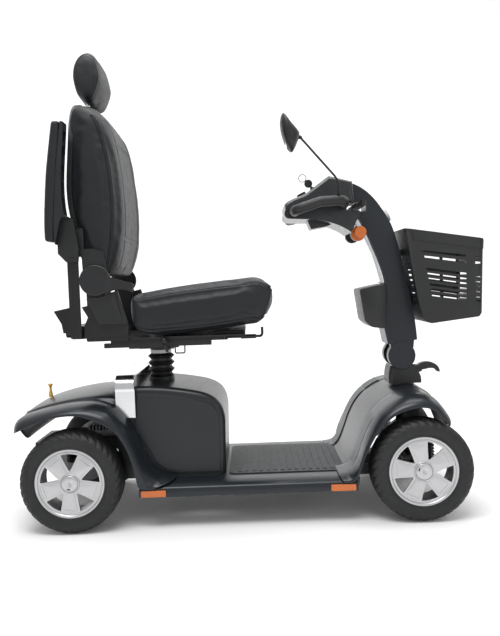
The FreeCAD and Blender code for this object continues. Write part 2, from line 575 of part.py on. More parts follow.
mh = fuse(mh, cup, cyl(mb.x - 26, mb.y, mb.z, (1, 0, 0), 5, 20))
mh = cut(mh, Part.makeSphere(6.55, mb))
save("mirror_head", mh)

# ---- basket ----
BK_Y = 150.0              # basket half width


def bx(p):
    return (31.18 + (p[0] - 31.18) * 1.0107 + 3.6, 791.07 + (p[1] - 791.07) * 1.0107)


bo = [bx(p) for p in [(553, 948), (808, 906), (816, 896), (813, 868), (806, 662), (792, 647), (632, 629), (612, 636), (604, 650), (590, 705), (574, 800)]]
bk = poly(bo, -BK_Y, BK_Y)
bk = fil(bk, 20, lambda e: (on_y(-BK_Y)(e) or on_y(BK_Y)(e)) and e.Length > 190 and abs(e.Vertexes[0].Z - e.Vertexes[1].Z) > 190)
bi = poly([bx(p) for p in [(556, 990), (812, 948), (812.5, 896), (809.5, 868), (802.5, 664), (790, 651), (632, 633), (614, 640), (608, 651), (594, 706), (578, 801), (560, 912)]], -BK_Y + 3.5, BK_Y - 3.5)
bi = fil(bi, 17, lambda e: (on_y(-BK_Y + 3.5)(e) or on_y(BK_Y - 3.5)(e)) and e.Length > 90 and abs(e.Vertexes[0].Z - e.Vertexes[1].Z) > 80)
bk = cut(bk, bi)
rows = [((606, 872), (721, 855)), ((613, 854), (720, 837)), ((619, 812), (720, 795)), ((622, 795), (725, 777)), ((625, 778), (726, 761)),
        ((629, 760), (728, 743)), ((632, 743), (727, 726)), ((635, 725), (727, 710))]
for p, q in rows:
    sl_ = (q[1] - p[1]) / (q[0] - p[0])
    for x0, x1, y0, y1 in ((p[0], 752, -200, -100), (782, 800, -200, -100), (p[0], 742, 100, 200), (754, 802, 100, 200)):
        a, b = bx((x0, p[1] + sl_ * (x0 - p[0])))
        c, d = bx((x1, p[1] + sl_ * (x1 - p[0])))
        bk = bk.cut(poly([(a, b - 4), (c, d - 4), (c, d + 4), (a, b + 4)], y0, y1))
for k in range(8):
    z = 702 + 17.5 * k
    bk = bk.cut(box(790, 840, -118, -8, z, z + 8)).cut(box(790, 840, 8, 118, z, z + 8))
    z = 690 + 20 * k
    bk = bk.cut(box(555, 610, -118, -66, z, z + 8)).cut(box(555, 610, 66, 118, z, z + 8))
rimb = poly([bx(p) for p in [(550, 950), (809, 907.5), (816, 897), (814.5, 872), (560, 914)]], -BK_Y - 3, BK_Y + 3)
rimb = fil(rimb, 22, lambda e: (on_y(-BK_Y - 3)(e) or on_y(BK_Y + 3)(e)) and e.Length < 45 and abs(e.Vertexes[0].Z - e.Vertexes[1].Z) > 20)
rimi = poly([bx(p) for p in [(555, 990), (812, 948), (812, 896), (809.5, 855), (563, 880)]], -BK_Y + 3.5, BK_Y - 3.5)
rimi = fil(rimi, 17, lambda e: (on_y(-BK_Y + 3.5)(e) or on_y(BK_Y - 3.5)(e)) and e.Length > 30 and abs(e.Vertexes[0].Z - e.Vertexes[1].Z) > 25)
rimb = cut(rimb, rimi)
bk = fuse(bk, rimb)
hook = fuse(box(563, 572, -26, 26, 862, 884), box(592.5, 603, -26, 26, 700, 712))
bk = fuse(bk, cut(hook, ext(col, -60, 60)))
bk = cut(bk, column_world)
save("basket", *[q for q in bk.Solids if q.Volume > 2000])

# ---- seat post, bellows ----
bl = [(27.5, 463.3), (33, 463.3)]
for zk in (488, 512, 536):
    bl += [(33, zk - 13), (46, zk - 1.5), (46, zk + 1.5), (33, zk + 8)]
bl += [(33, 545.7), (27.5, 545.7)]
bl = [bl[0], bl[1]] + [p for p in bl[2:] if p[1] > 463.5 and p[1] < 545.6 or p[1] == 545.7]
save("post_bellows", revz(bl, POST_X, 0))
sp = cut(fuse(zcyl(POST_X, 0, 25, 200, 550), zcyl(POST_X, 0, 38, 546, 560)), zcyl(POST_X, 0, 20, 190, 540), zcyl(POST_X, 0, 8.05, 530, 570))
save("seat_post", sp)

# ---- swivel base ----
sb = [zcyl(POST_X, 0, 38, 560.3, 581), box(-380, -215, -182, 182, 579, 584.3), zcyl(POST_X, 0, 8, 532, 575)]
for s in (-1, 1):
    sb.append(box(-463, -104, min(s * 158, s * 182), max(s * 158, s * 182), 584, 599))
sb.append(box(-372, -332, -20, 20, 563, 580))
loop = pipe([(-239, -60, 580), (-239, -60, 548), (-205, -60, 548), (-205, -60, 580)], 2.5, 6)
swb = fuse(*sb, loop)
swb = cut(swb, zcyl(-250, -78, 5.05, 560, 600))
save("swivel_base", swb)
sl = fuse(zcyl(-250, -78, 5, 566, 590), zcyl(-250, -78, 9, 566, 577), pipe([(-250, -78, 571), (-250, -209, 571), (-256, -219, 600)], 4.5, 8), Part.makeSphere(12, V(-256.5, -220, 605)))
save("swivel_lever", sl)

# ---- seat frame ----
sf = [box(-440, 10, -205, 205, 612, 618), box(-557, -515, -225, 225, 621, 663), box(-516, -430, -200, 200, 612, 640)]
for s in (-1, 1):
    sf.append(box(-440, -60, min(s * 158, s * 182), max(s * 158, s * 182), 599.3, 612.5))
    b = poly([(-512, 625), (-371, 627), (-369, 664), (-400, 690), (-432, 800), (-445, 829), (-467, 837), (-489, 829), (-500, 800), (-500, 690), (-512, 664)], 234, 240)
    b = fuse(b, box(-505, -371, 200, 236, 612, 630), ycyl(RECL_X, RECL_Z, 8, 225, 252))
    h = fuse(poly([(-545, 640), (-556, 727), (-622, 714), (-598, 671), (-593, 640)], 190, 196), cyl(-556, 168, 642, (-1, 0, 0), 5, 14), cyl(-570, 168, 642, (-1, 0, 0), 19, 18))
    if s < 0:
        b, h = mir(b), mir(h)
    sf += [b, h]
sf.append(box(-100, 10, -150, 150, 618, 626))
sp_ = fuse(*sf)
sp_ = cut(sp_, box(-553.5, -518.5, -230, 230, 624.5, 659.5), zcyl(-60, -120, 5.05, 590, 625))
save("seat_pan", sp_)
cu1 = [[(-362, 640), (-362, 752)], [(-362, 752), (-330, 759), (-219, 777), (-100, 790), (18, 800), (61, 799), (98, 789), (115, 775), (119, 755), (108, 708), (92, 668), (72, 643)],
       [(72, 643), (-7, 641), (-87, 634), (-264, 626), (-362, 640)]]
cush = ext(cu1, -SEAT_W2, SEAT_W2)
cush = fil(cush, 24, lambda e: (on_y(-SEAT_W2)(e) or on_y(SEAT_W2)(e)) and e.BoundBox.ZMax > 770)
cush = fuse(cush, box(-429, -361, -226, 226, 632, 750))
cush = cut(cush, box(-110, 20, -155, 155, 600, 627))
save("seat_cushion", cush)
sh = poly([(-500, 752), (-398, 776), (-367, 668), (-462, 668)], 242.6, 248)
rib = poly([(-421, 756), (-407, 770), (-386, 678), (-400, 675)], 247, 252)
dsc = fil(ycyl(RECL_X, RECL_Z, 50, 256.5, 264), 4, lambda e: e.BoundBox.YMin > 263)
dsc = fuse(dsc, ycyl(RECL_X, RECL_Z, 20, 252.2, 258))
stay = cut(fuse(sh, rib), ycyl(RECL_X, RECL_Z, 56, 240, 260))
save("seat_shields", stay, mir(stay), dsc)
rl = ext([[(-421, 822), (-380, 808), (-342, 796)], [(-342, 796), (-347, 768)], [(-347, 768), (-392, 780), (-434, 764)], [(-434, 764), (-450, 811)], [(-450, 811), (-434, 840)]], 256.5, 264)
rl = fuse(rl, dsc.copy())
save("recline_lever", mir(rl))
sv = fuse(zcyl(-60, -120, 4.85, 596, 617.5), zcyl(-60, -120, 10, 595, 599), pipe([(-60, -120, 603), (68, -120, 603), (68, -120, 634)], 4.5, 10),
          cyl(-6, -120, 603, (1, 0, 0), 7.5, 52))
save("slide_lever", sv)

# ---- backrest ----
bo_ = [[(-200, 826), (200, 826)], [(200, 826), (222, 880), (235, 980), (BACK_W2, 1120), (233, 1240), (215, 1325), (180, 1380), (120, 1404), (0, 1410)], [(0, 1410), (-120, 1404), (-180, 1380), (-215, 1325), (-233, 1240), (-BACK_W2, 1120), (-235, 980), (-222, 880), (-200, 826)]]
outl = extx(bo_, -600, -350)
rearc = [(-508, 830), (-514, 880), (-530, 960), (-545, 1040), (-549, 1100), (-545, 1180), (-539, 1280), (-537, 1345), (-530, 1405)]
inner = off(rearc, -16)
fro = [(-430, 828), (-416, 868), (-400, 916), (-389, 974), (-385, 1051), (-388, 1128), (-398, 1210), (-414, 1290), (-438, 1350), (-470, 1395), (-492, 1409)]
bc = ext([[(p[0] + 0.2, p[1]) for p in inner], [(inner[-1][0] + 0.2, inner[-1][1]), fro[-1]], list(reversed(fro))], -BACK_W2, BACK_W2).common(outl)
bc = fil(bc, 14, lambda e: e.Length > 900 and e.BoundBox.XMax > -480)
bs = ext([rearc, list(reversed(inner))], -BACK_W2, BACK_W2).common(outl)
arms = []
for s in (-1, 1):
    a = poly([(-505, 800), (-467, 770), (-430, 800), (-434, 868), (-437, 905), (-472, 914), (-508, 914), (-508, 868)], 243, 248.6)
    a = fuse(a, poly([(-536, 890), (-470, 890), (-485, 1000), (-536, 1000)], 200, 248.6).common(box(-600, -500, 200, 248.6, 880, 980)))
    a = cut(a, ycyl(RECL_X, RECL_Z, 8.05, 200, 260), ext([[(p[0] + 0.2, p[1]) for p in inner], [(inner[-1][0] + 0.2, inner[-1][1]), fro[-1]], list(reversed(fro))], 190, 240).common(outl))
    arms.append(a if s > 0 else mir(a))
bs = fuse(bs, *arms)
HRY, HRX = 52.0, -507.0
holes = [zcyl(HRX, HRY, 6.4, 1290, 1420), zcyl(HRX, -HRY, 6.4, 1290, 1420)]
bc = cut(bc, *[zcyl(HRX, s * HRY, 8.5, 1285, 1420) for s in (-1, 1)])
gd = [cut(zcyl(HRX, s * HRY, 8.2, 1386, 1413), zcyl(HRX, s * HRY, 6.05, 1370, 1420)) for s in (-1, 1)]
bs = cut(bs, *[zcyl(HRX, s * HRY, 8.5, 1285, 1420) for s in (-1, 1)])
gd2 = [box(-537, -514, s * HRY - 7, s * HRY + 7, 1390, 1400) for s in (-1, 1)]
bs = fuse(bs, *gd)
save("back_cushion", bc)
save("back_shell", bs)
hs = [[(-546, 1522), (-530, 1566), (-505, 1587), (-478, 1589), (-458, 1560), (-449, 1515), (-451, 1480), (-463, 1448), (-483, 1424), (-510, 1422), (-534, 1446), (-547, 1490), (-546, 1522)]]
hc = ext(hs, -132, 132)
ho_ = [[(0, 1421), (80, 1424), (118, 1440), (131, 1480), (130, 1530), (112, 1572), (70, 1590), (0, 1597)], [(0, 1597), (-70, 1590), (-112, 1572), (-130, 1530), (-131, 1480), (-118, 1440), (-80, 1424), (0, 1421)]]
hc = hc.common(extx(ho_, -600, -400))
hc = cut(hc, *[zcyl(HRX, s * HRY, 6.1, 1400, 1490) for s in (-1, 1)])
save("headrest_cushion", hc)
pipes = [zcyl(HRX, s * HRY, 6, 1300, 1489.5) for s in (-1, 1)]
save("headrest_posts", *pipes)

# ---- armrests ----
pad_r = [(-571, 1320), (-577, 1280), (-583, 1240), (-599, 1122), (-607, 1020), (-610, 960), (-609, 931)]
pad_f = [(-578, 928), (-580, 960), (-577, 1020), (-568, 1122), (-554, 1240), (-547, 1290), (-544, 1319)]
for nm, s in (("right", -1), ("left", 1)):
    post = [box(-554, -518.5, 250, 256, 642, 886), ycyl(-536.2, ARM_Z, 17.7, 250, 256), box(-552.5, -519.5, 60, 256, 625.5, 658.5),
            box(-554, -518.5, 250, 256, 625.5, 650), ycyl(ARM_X, ARM_Z, 6, 250, 272)]
    post = fuse(*post)
    pd = ext([pad_r, [pad_r[-1], pad_f[0]], pad_f, [pad_f[-1], pad_r[0]]], 251, 311)
    pd = cut(pd, box(-640, -500, 240, 257.5, 860, 940))
    pd = fil(pd, 9, lambda e: (on_y(251)(e) or on_y(311)(e)) and e.Length > 200 and e.BoundBox.XMin < -600)
    arm = ext([[(-577.8, 930), (-579.8, 960), (-576.8, 1020), (-567.8, 1122), (-553.8, 1240), (-546.8, 1290), (-544, 1312)], [(-544, 1312), (-534, 1309)], [(-534, 1309), (-540, 1240), (-550, 1110), (-545, 1020)], [(-545, 1020), (-524, 1006)],
               [(-524, 1006), (-511, 912)], [(-511, 912), (-516, 872)], [(-516, 872), (-552, 872)], [(-552, 872), (-578, 900)]], 257.5, 303)
    arm = cut(arm, poly([(-600, 868), (-500, 868), (-505, 1015), (-548, 1020), (-560, 1000), (-577, 930)], 272.2, 310).common(box(-600, -400, 272.2, 310, 860, 1012)))
    for z0 in (1040, 1088, 1144, 1201, 1250):
        arm = arm.cut(box(-556 + (z0 - 1040) * 0.02, -500, 262, 298, z0, z0 + 34))
    arm = cut(arm, ycyl(ARM_X, ARM_Z, 6.05, 240, 320))
    if s < 0:
        post, pd, arm = mir(post), mir(pd), mir(arm)
    save("armrest_post_" + nm, post)
    save("armrest_pad_" + nm, pd)
    save("armrest_arm_" + nm, arm)

bb = FreeCAD.BoundBox()
for s in NODES.values():
    bb.add(s.BoundBox)
print("nodes", len(NODES), "box x %.2f %.2f y %.2f %.2f z %.2f %.2f" % (bb.XMin, bb.XMax, bb.YMin, bb.YMax, bb.ZMin, bb.ZMax))
for n, s in NODES.items():
    b = s.BoundBox
    print("%-22s solids %2d vol %10.0f  x %7.1f %7.1f y %7.1f %7.1f z %7.1f %7.1f %s" % (n, len(s.Solids), s.Volume, b.XMin, b.XMax, b.YMin, b.YMax, b.ZMin, b.ZMax, "" if s.isValid() else "INVALID"))
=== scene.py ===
import bpy, bmesh, math, json
from mathutils import Vector, Matrix, kdtree, noise


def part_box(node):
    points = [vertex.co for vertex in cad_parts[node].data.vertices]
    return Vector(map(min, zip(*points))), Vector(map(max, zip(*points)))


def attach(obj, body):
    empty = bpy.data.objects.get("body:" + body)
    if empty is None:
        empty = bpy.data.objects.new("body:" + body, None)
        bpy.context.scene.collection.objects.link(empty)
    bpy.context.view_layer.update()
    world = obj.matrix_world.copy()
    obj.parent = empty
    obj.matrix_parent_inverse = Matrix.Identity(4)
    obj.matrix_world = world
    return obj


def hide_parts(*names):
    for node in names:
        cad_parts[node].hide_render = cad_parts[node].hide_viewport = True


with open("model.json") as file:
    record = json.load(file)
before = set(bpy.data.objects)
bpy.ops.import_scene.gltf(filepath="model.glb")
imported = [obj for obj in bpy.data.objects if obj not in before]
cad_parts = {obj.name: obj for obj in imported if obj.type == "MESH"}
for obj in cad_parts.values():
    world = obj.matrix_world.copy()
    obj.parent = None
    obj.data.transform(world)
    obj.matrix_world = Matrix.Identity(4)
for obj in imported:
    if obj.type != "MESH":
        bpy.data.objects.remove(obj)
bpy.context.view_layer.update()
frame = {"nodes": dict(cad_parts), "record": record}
NODES = frame["nodes"]
XC = 39.0


def P(x, y, z):
    return Vector(((x - XC) / 1000.0, y / 1000.0, z / 1000.0))


# ------------------------------------------------------------ materials
def nn(nt, kind, **kw):
    n = nt.nodes.new(kind)
    for k, v in kw.items():
        setattr(n, k, v)
    return n


def make_mat(name, col, rough=0.4, metal=0.0, coat=0.0, var=0.25, rvar=0.08, grain=None, gdist=0.0004, gscale=900.0,
             wear=0.0, wear_col=(0.3, 0.3, 0.3), dust=0.0, spec=0.5, painted_glow=0.0, trans=0.0, coat_rough=0.1):
    m = bpy.data.materials.new(name)
    m.use_nodes = True
    nt = m.node_tree
    b = nt.nodes["Principled BSDF"]
    b.inputs["Metallic"].default_value = metal
    b.inputs["Coat Weight"].default_value = coat
    b.inputs["Coat Roughness"].default_value = coat_rough
    b.inputs["Specular IOR Level"].default_value = spec
    if trans:
        b.inputs["Transmission Weight"].default_value = trans
    # painted glow: a faint emission in the material's own colour that stands in for light, with no lamp behind it
    if painted_glow:
        b.inputs["Emission Color"].default_value = (col[0], col[1], col[2], 1)
        b.inputs["Emission Strength"].default_value = painted_glow
    tc = nn(nt, "ShaderNodeTexCoord")
    n1 = nn(nt, "ShaderNodeTexNoise")
    n1.inputs["Scale"].default_value = 7.0
    n1.inputs["Detail"].default_value = 6.0
    nt.links.new(tc.outputs["Object"], n1.inputs["Vector"])
    n2 = nn(nt, "ShaderNodeTexNoise")
    n2.inputs["Scale"].default_value = 90.0
    n2.inputs["Detail"].default_value = 4.0
    nt.links.new(tc.outputs["Object"], n2.inputs["Vector"])
    r = nn(nt, "ShaderNodeValToRGB")
    lo = [max(0.0, c * (1 - var)) for c in col[:3]] + [1]
    hi = [min(1.0, c * (1 + var)) for c in col[:3]] + [1]
    r.color_ramp.elements[0].position = 0.32
    r.color_ramp.elements[0].color = lo
    r.color_ramp.elements[1].position = 0.68
    r.color_ramp.elements[1].color = hi
    nt.links.new(n1.outputs["Fac"], r.inputs["Fac"])
    out = r.outputs["Color"]
    if dust:
        mx = nn(nt, "ShaderNodeMix", data_type="RGBA")
        gm = nn(nt, "ShaderNodeNewGeometry")
        sx = nn(nt, "ShaderNodeSeparateXYZ")
        nt.links.new(gm.outputs["Normal"], sx.inputs["Vector"])
        mr = nn(nt, "ShaderNodeMapRange")
        mr.inputs["From Min"].default_value = 0.3
        mr.inputs["From Max"].default_value = 1.0
        mr.inputs["To Max"].default_value = dust
        nt.links.new(sx.outputs["Z"], mr.inputs["Value"])
        mu = nn(nt, "ShaderNodeMath", operation="MULTIPLY")
        nt.links.new(mr.outputs["Result"], mu.inputs[0])
        nt.links.new(n2.outputs["Fac"], mu.inputs[1])
        nt.links.new(mu.outputs[0], mx.inputs["Factor"])
        nt.links.new(out, mx.inputs["A"])
        mx.inputs["B"].default_value = (0.33, 0.33, 0.33, 1)
        out = mx.outputs["Result"]
    if wear:
        gm = nn(nt, "ShaderNodeNewGeometry")
        pr = nn(nt, "ShaderNodeMapRange")
        pr.inputs["From Min"].default_value = 0.53
        pr.inputs["From Max"].default_value = 0.62
        pr.inputs["To Max"].default_value = wear
        nt.links.new(gm.outputs["Pointiness"], pr.inputs["Value"])
        mu = nn(nt, "ShaderNodeMath", operation="MULTIPLY")
        nt.links.new(pr.outputs["Result"], mu.inputs[0])
        nt.links.new(n2.outputs["Fac"], mu.inputs[1])
        mx = nn(nt, "ShaderNodeMix", data_type="RGBA")
        nt.links.new(mu.outputs[0], mx.inputs["Factor"])
        nt.links.new(out, mx.inputs["A"])
        mx.inputs["B"].default_value = tuple(wear_col) + (1,)
        out = mx.outputs["Result"]
    nt.links.new(out, b.inputs["Base Color"])
    rr = nn(nt, "ShaderNodeMapRange")
    rr.inputs["From Min"].default_value = 0.3
    rr.inputs["From Max"].default_value = 0.7
    rr.inputs["To Min"].default_value = max(0.02, rough - rvar)
    rr.inputs["To Max"].default_value = min(1.0, rough + rvar)
    nt.links.new(n2.outputs["Fac"], rr.inputs["Value"])
    nt.links.new(rr.outputs["Result"], b.inputs["Roughness"])
    # fine relief
    src = None
    if grain == "leather":
        v = nn(nt, "ShaderNodeTexVoronoi", feature="DISTANCE_TO_EDGE")
        v.inputs["Scale"].default_value = gscale
        nt.links.new(tc.outputs["Object"], v.inputs["Vector"])
        mr = nn(nt, "ShaderNodeMapRange")
        mr.inputs["From Max"].default_value = 0.22
        nt.links.new(v.outputs["Distance"], mr.inputs["Value"])
        src = mr.outputs["Result"]
    elif grain == "brush":
        mp = nn(nt, "ShaderNodeMapping")
        mp.inputs["Scale"].default_value = (1.0, 0.03, 1.0)
        nt.links.new(tc.outputs["Object"], mp.inputs["Vector"])
        v = nn(nt, "ShaderNodeTexNoise")
        v.inputs["Scale"].default_value = gscale
        nt.links.new(mp.outputs["Vector"], v.inputs["Vector"])
        src = v.outputs["Fac"]
    else:
        v = nn(nt, "ShaderNodeTexNoise")
        v.inputs["Scale"].default_value = gscale
        v.inputs["Detail"].default_value = 3.0
        nt.links.new(tc.outputs["Object"], v.inputs["Vector"])
        src = v.outputs["Fac"]
    bp = nn(nt, "ShaderNodeBump")
    bp.inputs["Strength"].default_value = 0.35
    bp.inputs["Distance"].default_value = gdist
    nt.links.new(src, bp.inputs["Height"])
    nt.links.new(bp.outputs["Normal"], b.inputs["Normal"])
    return m


M = {
    "body_graphite": make_mat("body_graphite", (0.0115, 0.0145, 0.0185), 0.36, 0.2, coat=0.28, var=0.07, rvar=0.02, gscale=1800, gdist=0.000012, coat_rough=0.2, spec=0.32, wear=0.12, wear_col=(0.12, 0.13, 0.14)),
    "cover_charcoal": make_mat("cover_charcoal", (0.0115, 0.0135, 0.016), 0.38, 0.05, coat=0.15, spec=0.35, var=0.08, rvar=0.03, gscale=1800, gdist=0.00004, coat_rough=0.18, wear=0.12, wear_col=(0.12, 0.12, 0.13)),
    "band_grey": make_mat("band_grey", (0.030, 0.036, 0.042), 0.42, 0.1, coat=0.12, spec=0.35, var=0.07, rvar=0.02, gscale=1800, gdist=0.00003),
    "mat_rubber": make_mat("mat_rubber", (0.022, 0.024, 0.027), 0.58, var=0.15, gscale=1400, gdist=0.0003, dust=0.04),
    "tyre": make_mat("tyre", (0.0075, 0.008, 0.0085), 0.60, var=0.25, gscale=700, gdist=0.0004, dust=0.02, wear=0.25, wear_col=(0.05, 0.05, 0.05)),
    "wheel_silver": make_mat("wheel_silver", (0.50, 0.50, 0.51), 0.36, 0.75, coat=0.3, var=0.04, rvar=0.03, gscale=1600, gdist=0.00004, wear=0.2, wear_col=(0.85, 0.85, 0.85)),
    "steel_black": make_mat("steel_black", (0.008, 0.008, 0.009), 0.40, 0.2, var=0.2, gscale=1200, gdist=0.0002, wear=0.3, wear_col=(0.07, 0.07, 0.07)),
    "steel_bare": make_mat("steel_bare", (0.36, 0.36, 0.37), 0.34, 0.95, var=0.12, grain="brush", gscale=900, gdist=0.0002),
    "chrome": make_mat("chrome", (0.72, 0.73, 0.74), 0.17, 1.0, var=0.03, rvar=0.04, gscale=500, gdist=0.00003),
    "alloy": make_mat("alloy", (0.30, 0.30, 0.31), 0.48, 0.85, var=0.15, gscale=700, gdist=0.0006),
    # amber lenses carry a faint painted glow (emission 0.02) though they are not lit
    "amber": make_mat("amber", (0.55, 0.12, 0.006), 0.22, 0.0, coat=0.5, var=0.12, grain="leather", gscale=420, gdist=0.0006, painted_glow=0.02),
    "battery": make_mat("battery", (0.03, 0.03, 0.033), 0.6, var=0.2, gscale=900, gdist=0.0004),
    "black_plastic": make_mat("black_plastic", (0.0075, 0.008, 0.009), 0.40, var=0.2, gscale=1800, gdist=0.0002, wear=0.3, wear_col=(0.06, 0.06, 0.06)),
    "console_plastic": make_mat("console_plastic", (0.010, 0.0115, 0.0135), 0.30, coat=0.25, var=0.15, rvar=0.04, gscale=1600, gdist=0.0001, coat_rough=0.2),
    "vinyl": make_mat("vinyl", (0.0095, 0.0108, 0.0128), 0.46, var=0.12, rvar=0.06, grain="leather", gscale=620, gdist=0.0003, spec=0.34),
    "grip": make_mat("grip", (0.009, 0.009, 0.010), 0.52, var=0.15, gscale=1500, gdist=0.0005),
    "bellows_rubber": make_mat("bellows_rubber", (0.006, 0.006, 0.007), 0.45, var=0.2, gscale=900, gdist=0.0002),
    "yellow": make_mat("yellow", (0.70, 0.42, 0.07), 0.28, 0.25, coat=0.4, var=0.1, gscale=900, gdist=0.0001),
    "basket_black": make_mat("basket_black", (0.0075, 0.008, 0.009), 0.36, var=0.15, gscale=1500, gdist=0.0001, wear=0.3, wear_col=(0.06, 0.06, 0.06)),
    "piping": make_mat("piping", (0.008, 0.0085, 0.0095), 0.4, var=0.15, gscale=900, gdist=0.0002),
    "mirror_glass": make_mat("mirror_glass", (0.8, 0.82, 0.83), 0.05, 1.0, var=0.02, rvar=0.01, gscale=200, gdist=0.00001),
    "lamp_lens": make_mat("lamp_lens", (0.7, 0.72, 0.73), 0.12, 0.1, coat=0.8, var=0.05, grain="leather", gscale=250, gdist=0.0008),
    "red_lens": make_mat("red_lens", (0.45, 0.012, 0.008), 0.2, 0.0, coat=0.6, var=0.1, grain="leather", gscale=420, gdist=0.0006),
    "floor": make_mat("floor", (0.93, 0.93, 0.93), 0.7, var=0.003, rvar=0.02, gscale=40, gdist=0.00001),
}
SUB = {s["node"]: s.get("material_slot") for s in frame["record"]["subparts"]}

for n, o in NODES.items():
    if o.type != "MESH":
        continue
    m = M.get(SUB.get(n)) or M["black_plastic"]
    if not o.material_slots:
        o.data.materials.append(m)
    for s in o.material_slots:
        s.material = m
# some nodes hold two finishes: pick by place
def split_mat(node, test, mat):
    o = NODES[node]
    o.data.materials.append(mat)
    k = len(o.data.materials) - 1
    for p in o.data.polygons:
        if test(p.center):
            p.material_index = k


def mm(c):
    return c.x * 1000 + XC, c.y * 1000, c.z * 1000


# ------------------------------------------------------------ mesh helpers
def link(name, me, mat, body, slotname=None):
    o = bpy.data.objects.new(name, me)
    bpy.context.scene.collection.objects.link(o)
    if mat:
        me.materials.clear()
        me.materials.append(mat)
    o["_b"] = body
    return o


def smooth(o):
    for p in o.data.polygons:
        p.use_smooth = True


def ride(o, body):
    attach(o, body)


def raw(name, verts, faces, mat, body):
    me = bpy.data.meshes.new(name)
    me.from_pydata([tuple(v) for v in verts], [], faces)
    me.validate()
    bm = bmesh.new()
    bm.from_mesh(me)
    bmesh.ops.remove_doubles(bm, verts=bm.verts, dist=1e-6)
    bmesh.ops.recalc_face_normals(bm, faces=bm.faces)
    bm.to_mesh(me)
    bm.free()
    o = link(name, me, mat, body)
    smooth(o)
    return o


def grid(name, rows, mat, body, thick=0.0, sub=2, crease_rim=True, loop=False, off=-1.0):
    n = len(rows[0])
    verts = [P(*p) for r in rows for p in r]
    faces = []
    for i in range(len(rows) - 1):
        for j in range(n - 1 if not loop else n):
            a, b = i * n + j, i * n + (j + 1) % n
            faces.append((a, b, b + n, a + n))
    o = raw(name, verts, faces, mat, body)
    if sub:
        s = o.modifiers.new("sub", "SUBSURF")
        s.levels = s.render_levels = sub
    if thick:
        s = o.modifiers.new("solid", "SOLIDIFY")
        s.thickness = thick / 1000.0
        s.offset = off
        s.use_even_offset = True
        b = o.modifiers.new("bev", "BEVEL")
        b.width = min(thick * 0.3, 1.5) / 1000.0
        b.segments = 2
        b.limit_method = "ANGLE"
        b.angle_limit = math.radians(50)
    return o


def apply_mods(o):
    dg = bpy.context.evaluated_depsgraph_get()
    me = bpy.data.meshes.new_from_object(o.evaluated_get(dg))
    o.modifiers.clear()
    old = o.data
    o.data = me
    bpy.data.meshes.remove(old)


def cr(pts, n=4):
    """Points on a smooth line through pts (any dimension)."""
    q = [pts[0]] + list(pts) + [pts[-1]]
    out = []
    for i in range(1, len(q) - 2):
        for k in range(n):
            t = k / float(n)
            out.append(tuple(0.5 * (2 * q[i][j] + (q[i + 1][j] - q[i - 1][j]) * t
                                    + (2 * q[i - 1][j] - 5 * q[i][j] + 4 * q[i + 1][j] - q[i + 2][j]) * t * t
                                    + (3 * q[i][j] - q[i - 1][j] - 3 * q[i + 1][j] + q[i + 2][j]) * t ** 3) for j in range(len(pts[0]))))
    out.append(tuple(pts[-1]))
    return out


def crc(pts, n=4):
    """Closed smooth line."""
    m = len(pts)
    out = []
    for i in range(m):
        p0, p1, p2, p3 = pts[i - 1], pts[i], pts[(i + 1) % m], pts[(i + 2) % m]
        for k in range(n):
            t = k / float(n)
            out.append(tuple(0.5 * (2 * p1[j] + (p2[j] - p0[j]) * t + (2 * p0[j] - 5 * p1[j] + 4 * p2[j] - p3[j]) * t * t
                                    + (3 * p1[j] - p0[j] - 3 * p2[j] + p3[j]) * t ** 3) for j in range(len(pts[0]))))
    return out


def tube(name, pts, r, mat, body, res=10, cyclic=False, fine=6):
    cu = bpy.data.curves.new(name, "CURVE")
    cu.dimensions = "3D"
    cu.bevel_depth = r / 1000.0
    cu.bevel_resolution = 3
    cu.use_fill_caps = True
    q = crc(pts, fine) if cyclic else cr(pts, fine)
    sp = cu.splines.new("POLY")
    sp.points.add(len(q) - 1)
    for i, p in enumerate(q):
        v = P(*p)
        sp.points[i].co = (v.x, v.y, v.z, 1)
    sp.use_cyclic_u = cyclic
    o = bpy.data.objects.new(name + "_c", cu)
    bpy.context.scene.collection.objects.link(o)
    dg = bpy.context.evaluated_depsgraph_get()
    me = bpy.data.meshes.new_from_object(o.evaluated_get(dg))
    bpy.data.objects.remove(o)
    bpy.data.curves.remove(cu)
    o = link(name, me, mat, body)
    smooth(o)
    return o


def join(name, objs, keep_mats=True):
    """One object from several (modifiers applied)."""
    for o in objs:
        if o.modifiers:
            apply_mods(o)
    bm = bmesh.new()
    mats = []
    body = objs[0]["_b"]
    for o in objs:
        tmp = o.data.copy()
        m = o.data.materials[0]
        if m not in mats:
            mats.append(m)
        k = mats.index(m)
        tmp.polygons.foreach_set("material_index", [k] * len(tmp.polygons))
        bm.from_mesh(tmp)
        bpy.data.meshes.remove(tmp)
    me = bpy.data.meshes.new(name)
    bm.to_mesh(me)
    bm.free()
    for o in objs:
        bpy.data.objects.remove(o)
    o = bpy.data.objects.new(name, me)
    bpy.context.scene.collection.objects.link(o)
    for m in mats:
        me.materials.append(m)
    o["_b"] = body
    smooth(o)
    return o


def lathe(name, prof, cx, cy, cz, axis, mat, body, seg=64, closed=True):
    """prof = (radius, offset along axis) list, turned about axis through (cx, cy, cz)."""
    verts, faces = [], []
    n = len(prof)
    for i in range(seg):
        a = 2 * math.pi * i / seg
        for r, t in prof:
            if axis == "y":
                verts.append(P(cx + r * math.cos(a), cy + t, cz + r * math.sin(a)))
            elif axis == "z":
                verts.append(P(cx + r * math.cos(a), cy + r * math.sin(a), cz + t))
            else:
                verts.append(P(cx + t, cy + r * math.cos(a), cz + r * math.sin(a)))
    for i in range(seg):
        k = (i + 1) % seg
        for j in range(n if closed else n - 1):
            l = (j + 1) % n
            faces.append((i * n + j, i * n + l, k * n + l, k * n + j))
    return raw(name, verts, faces, mat, body)


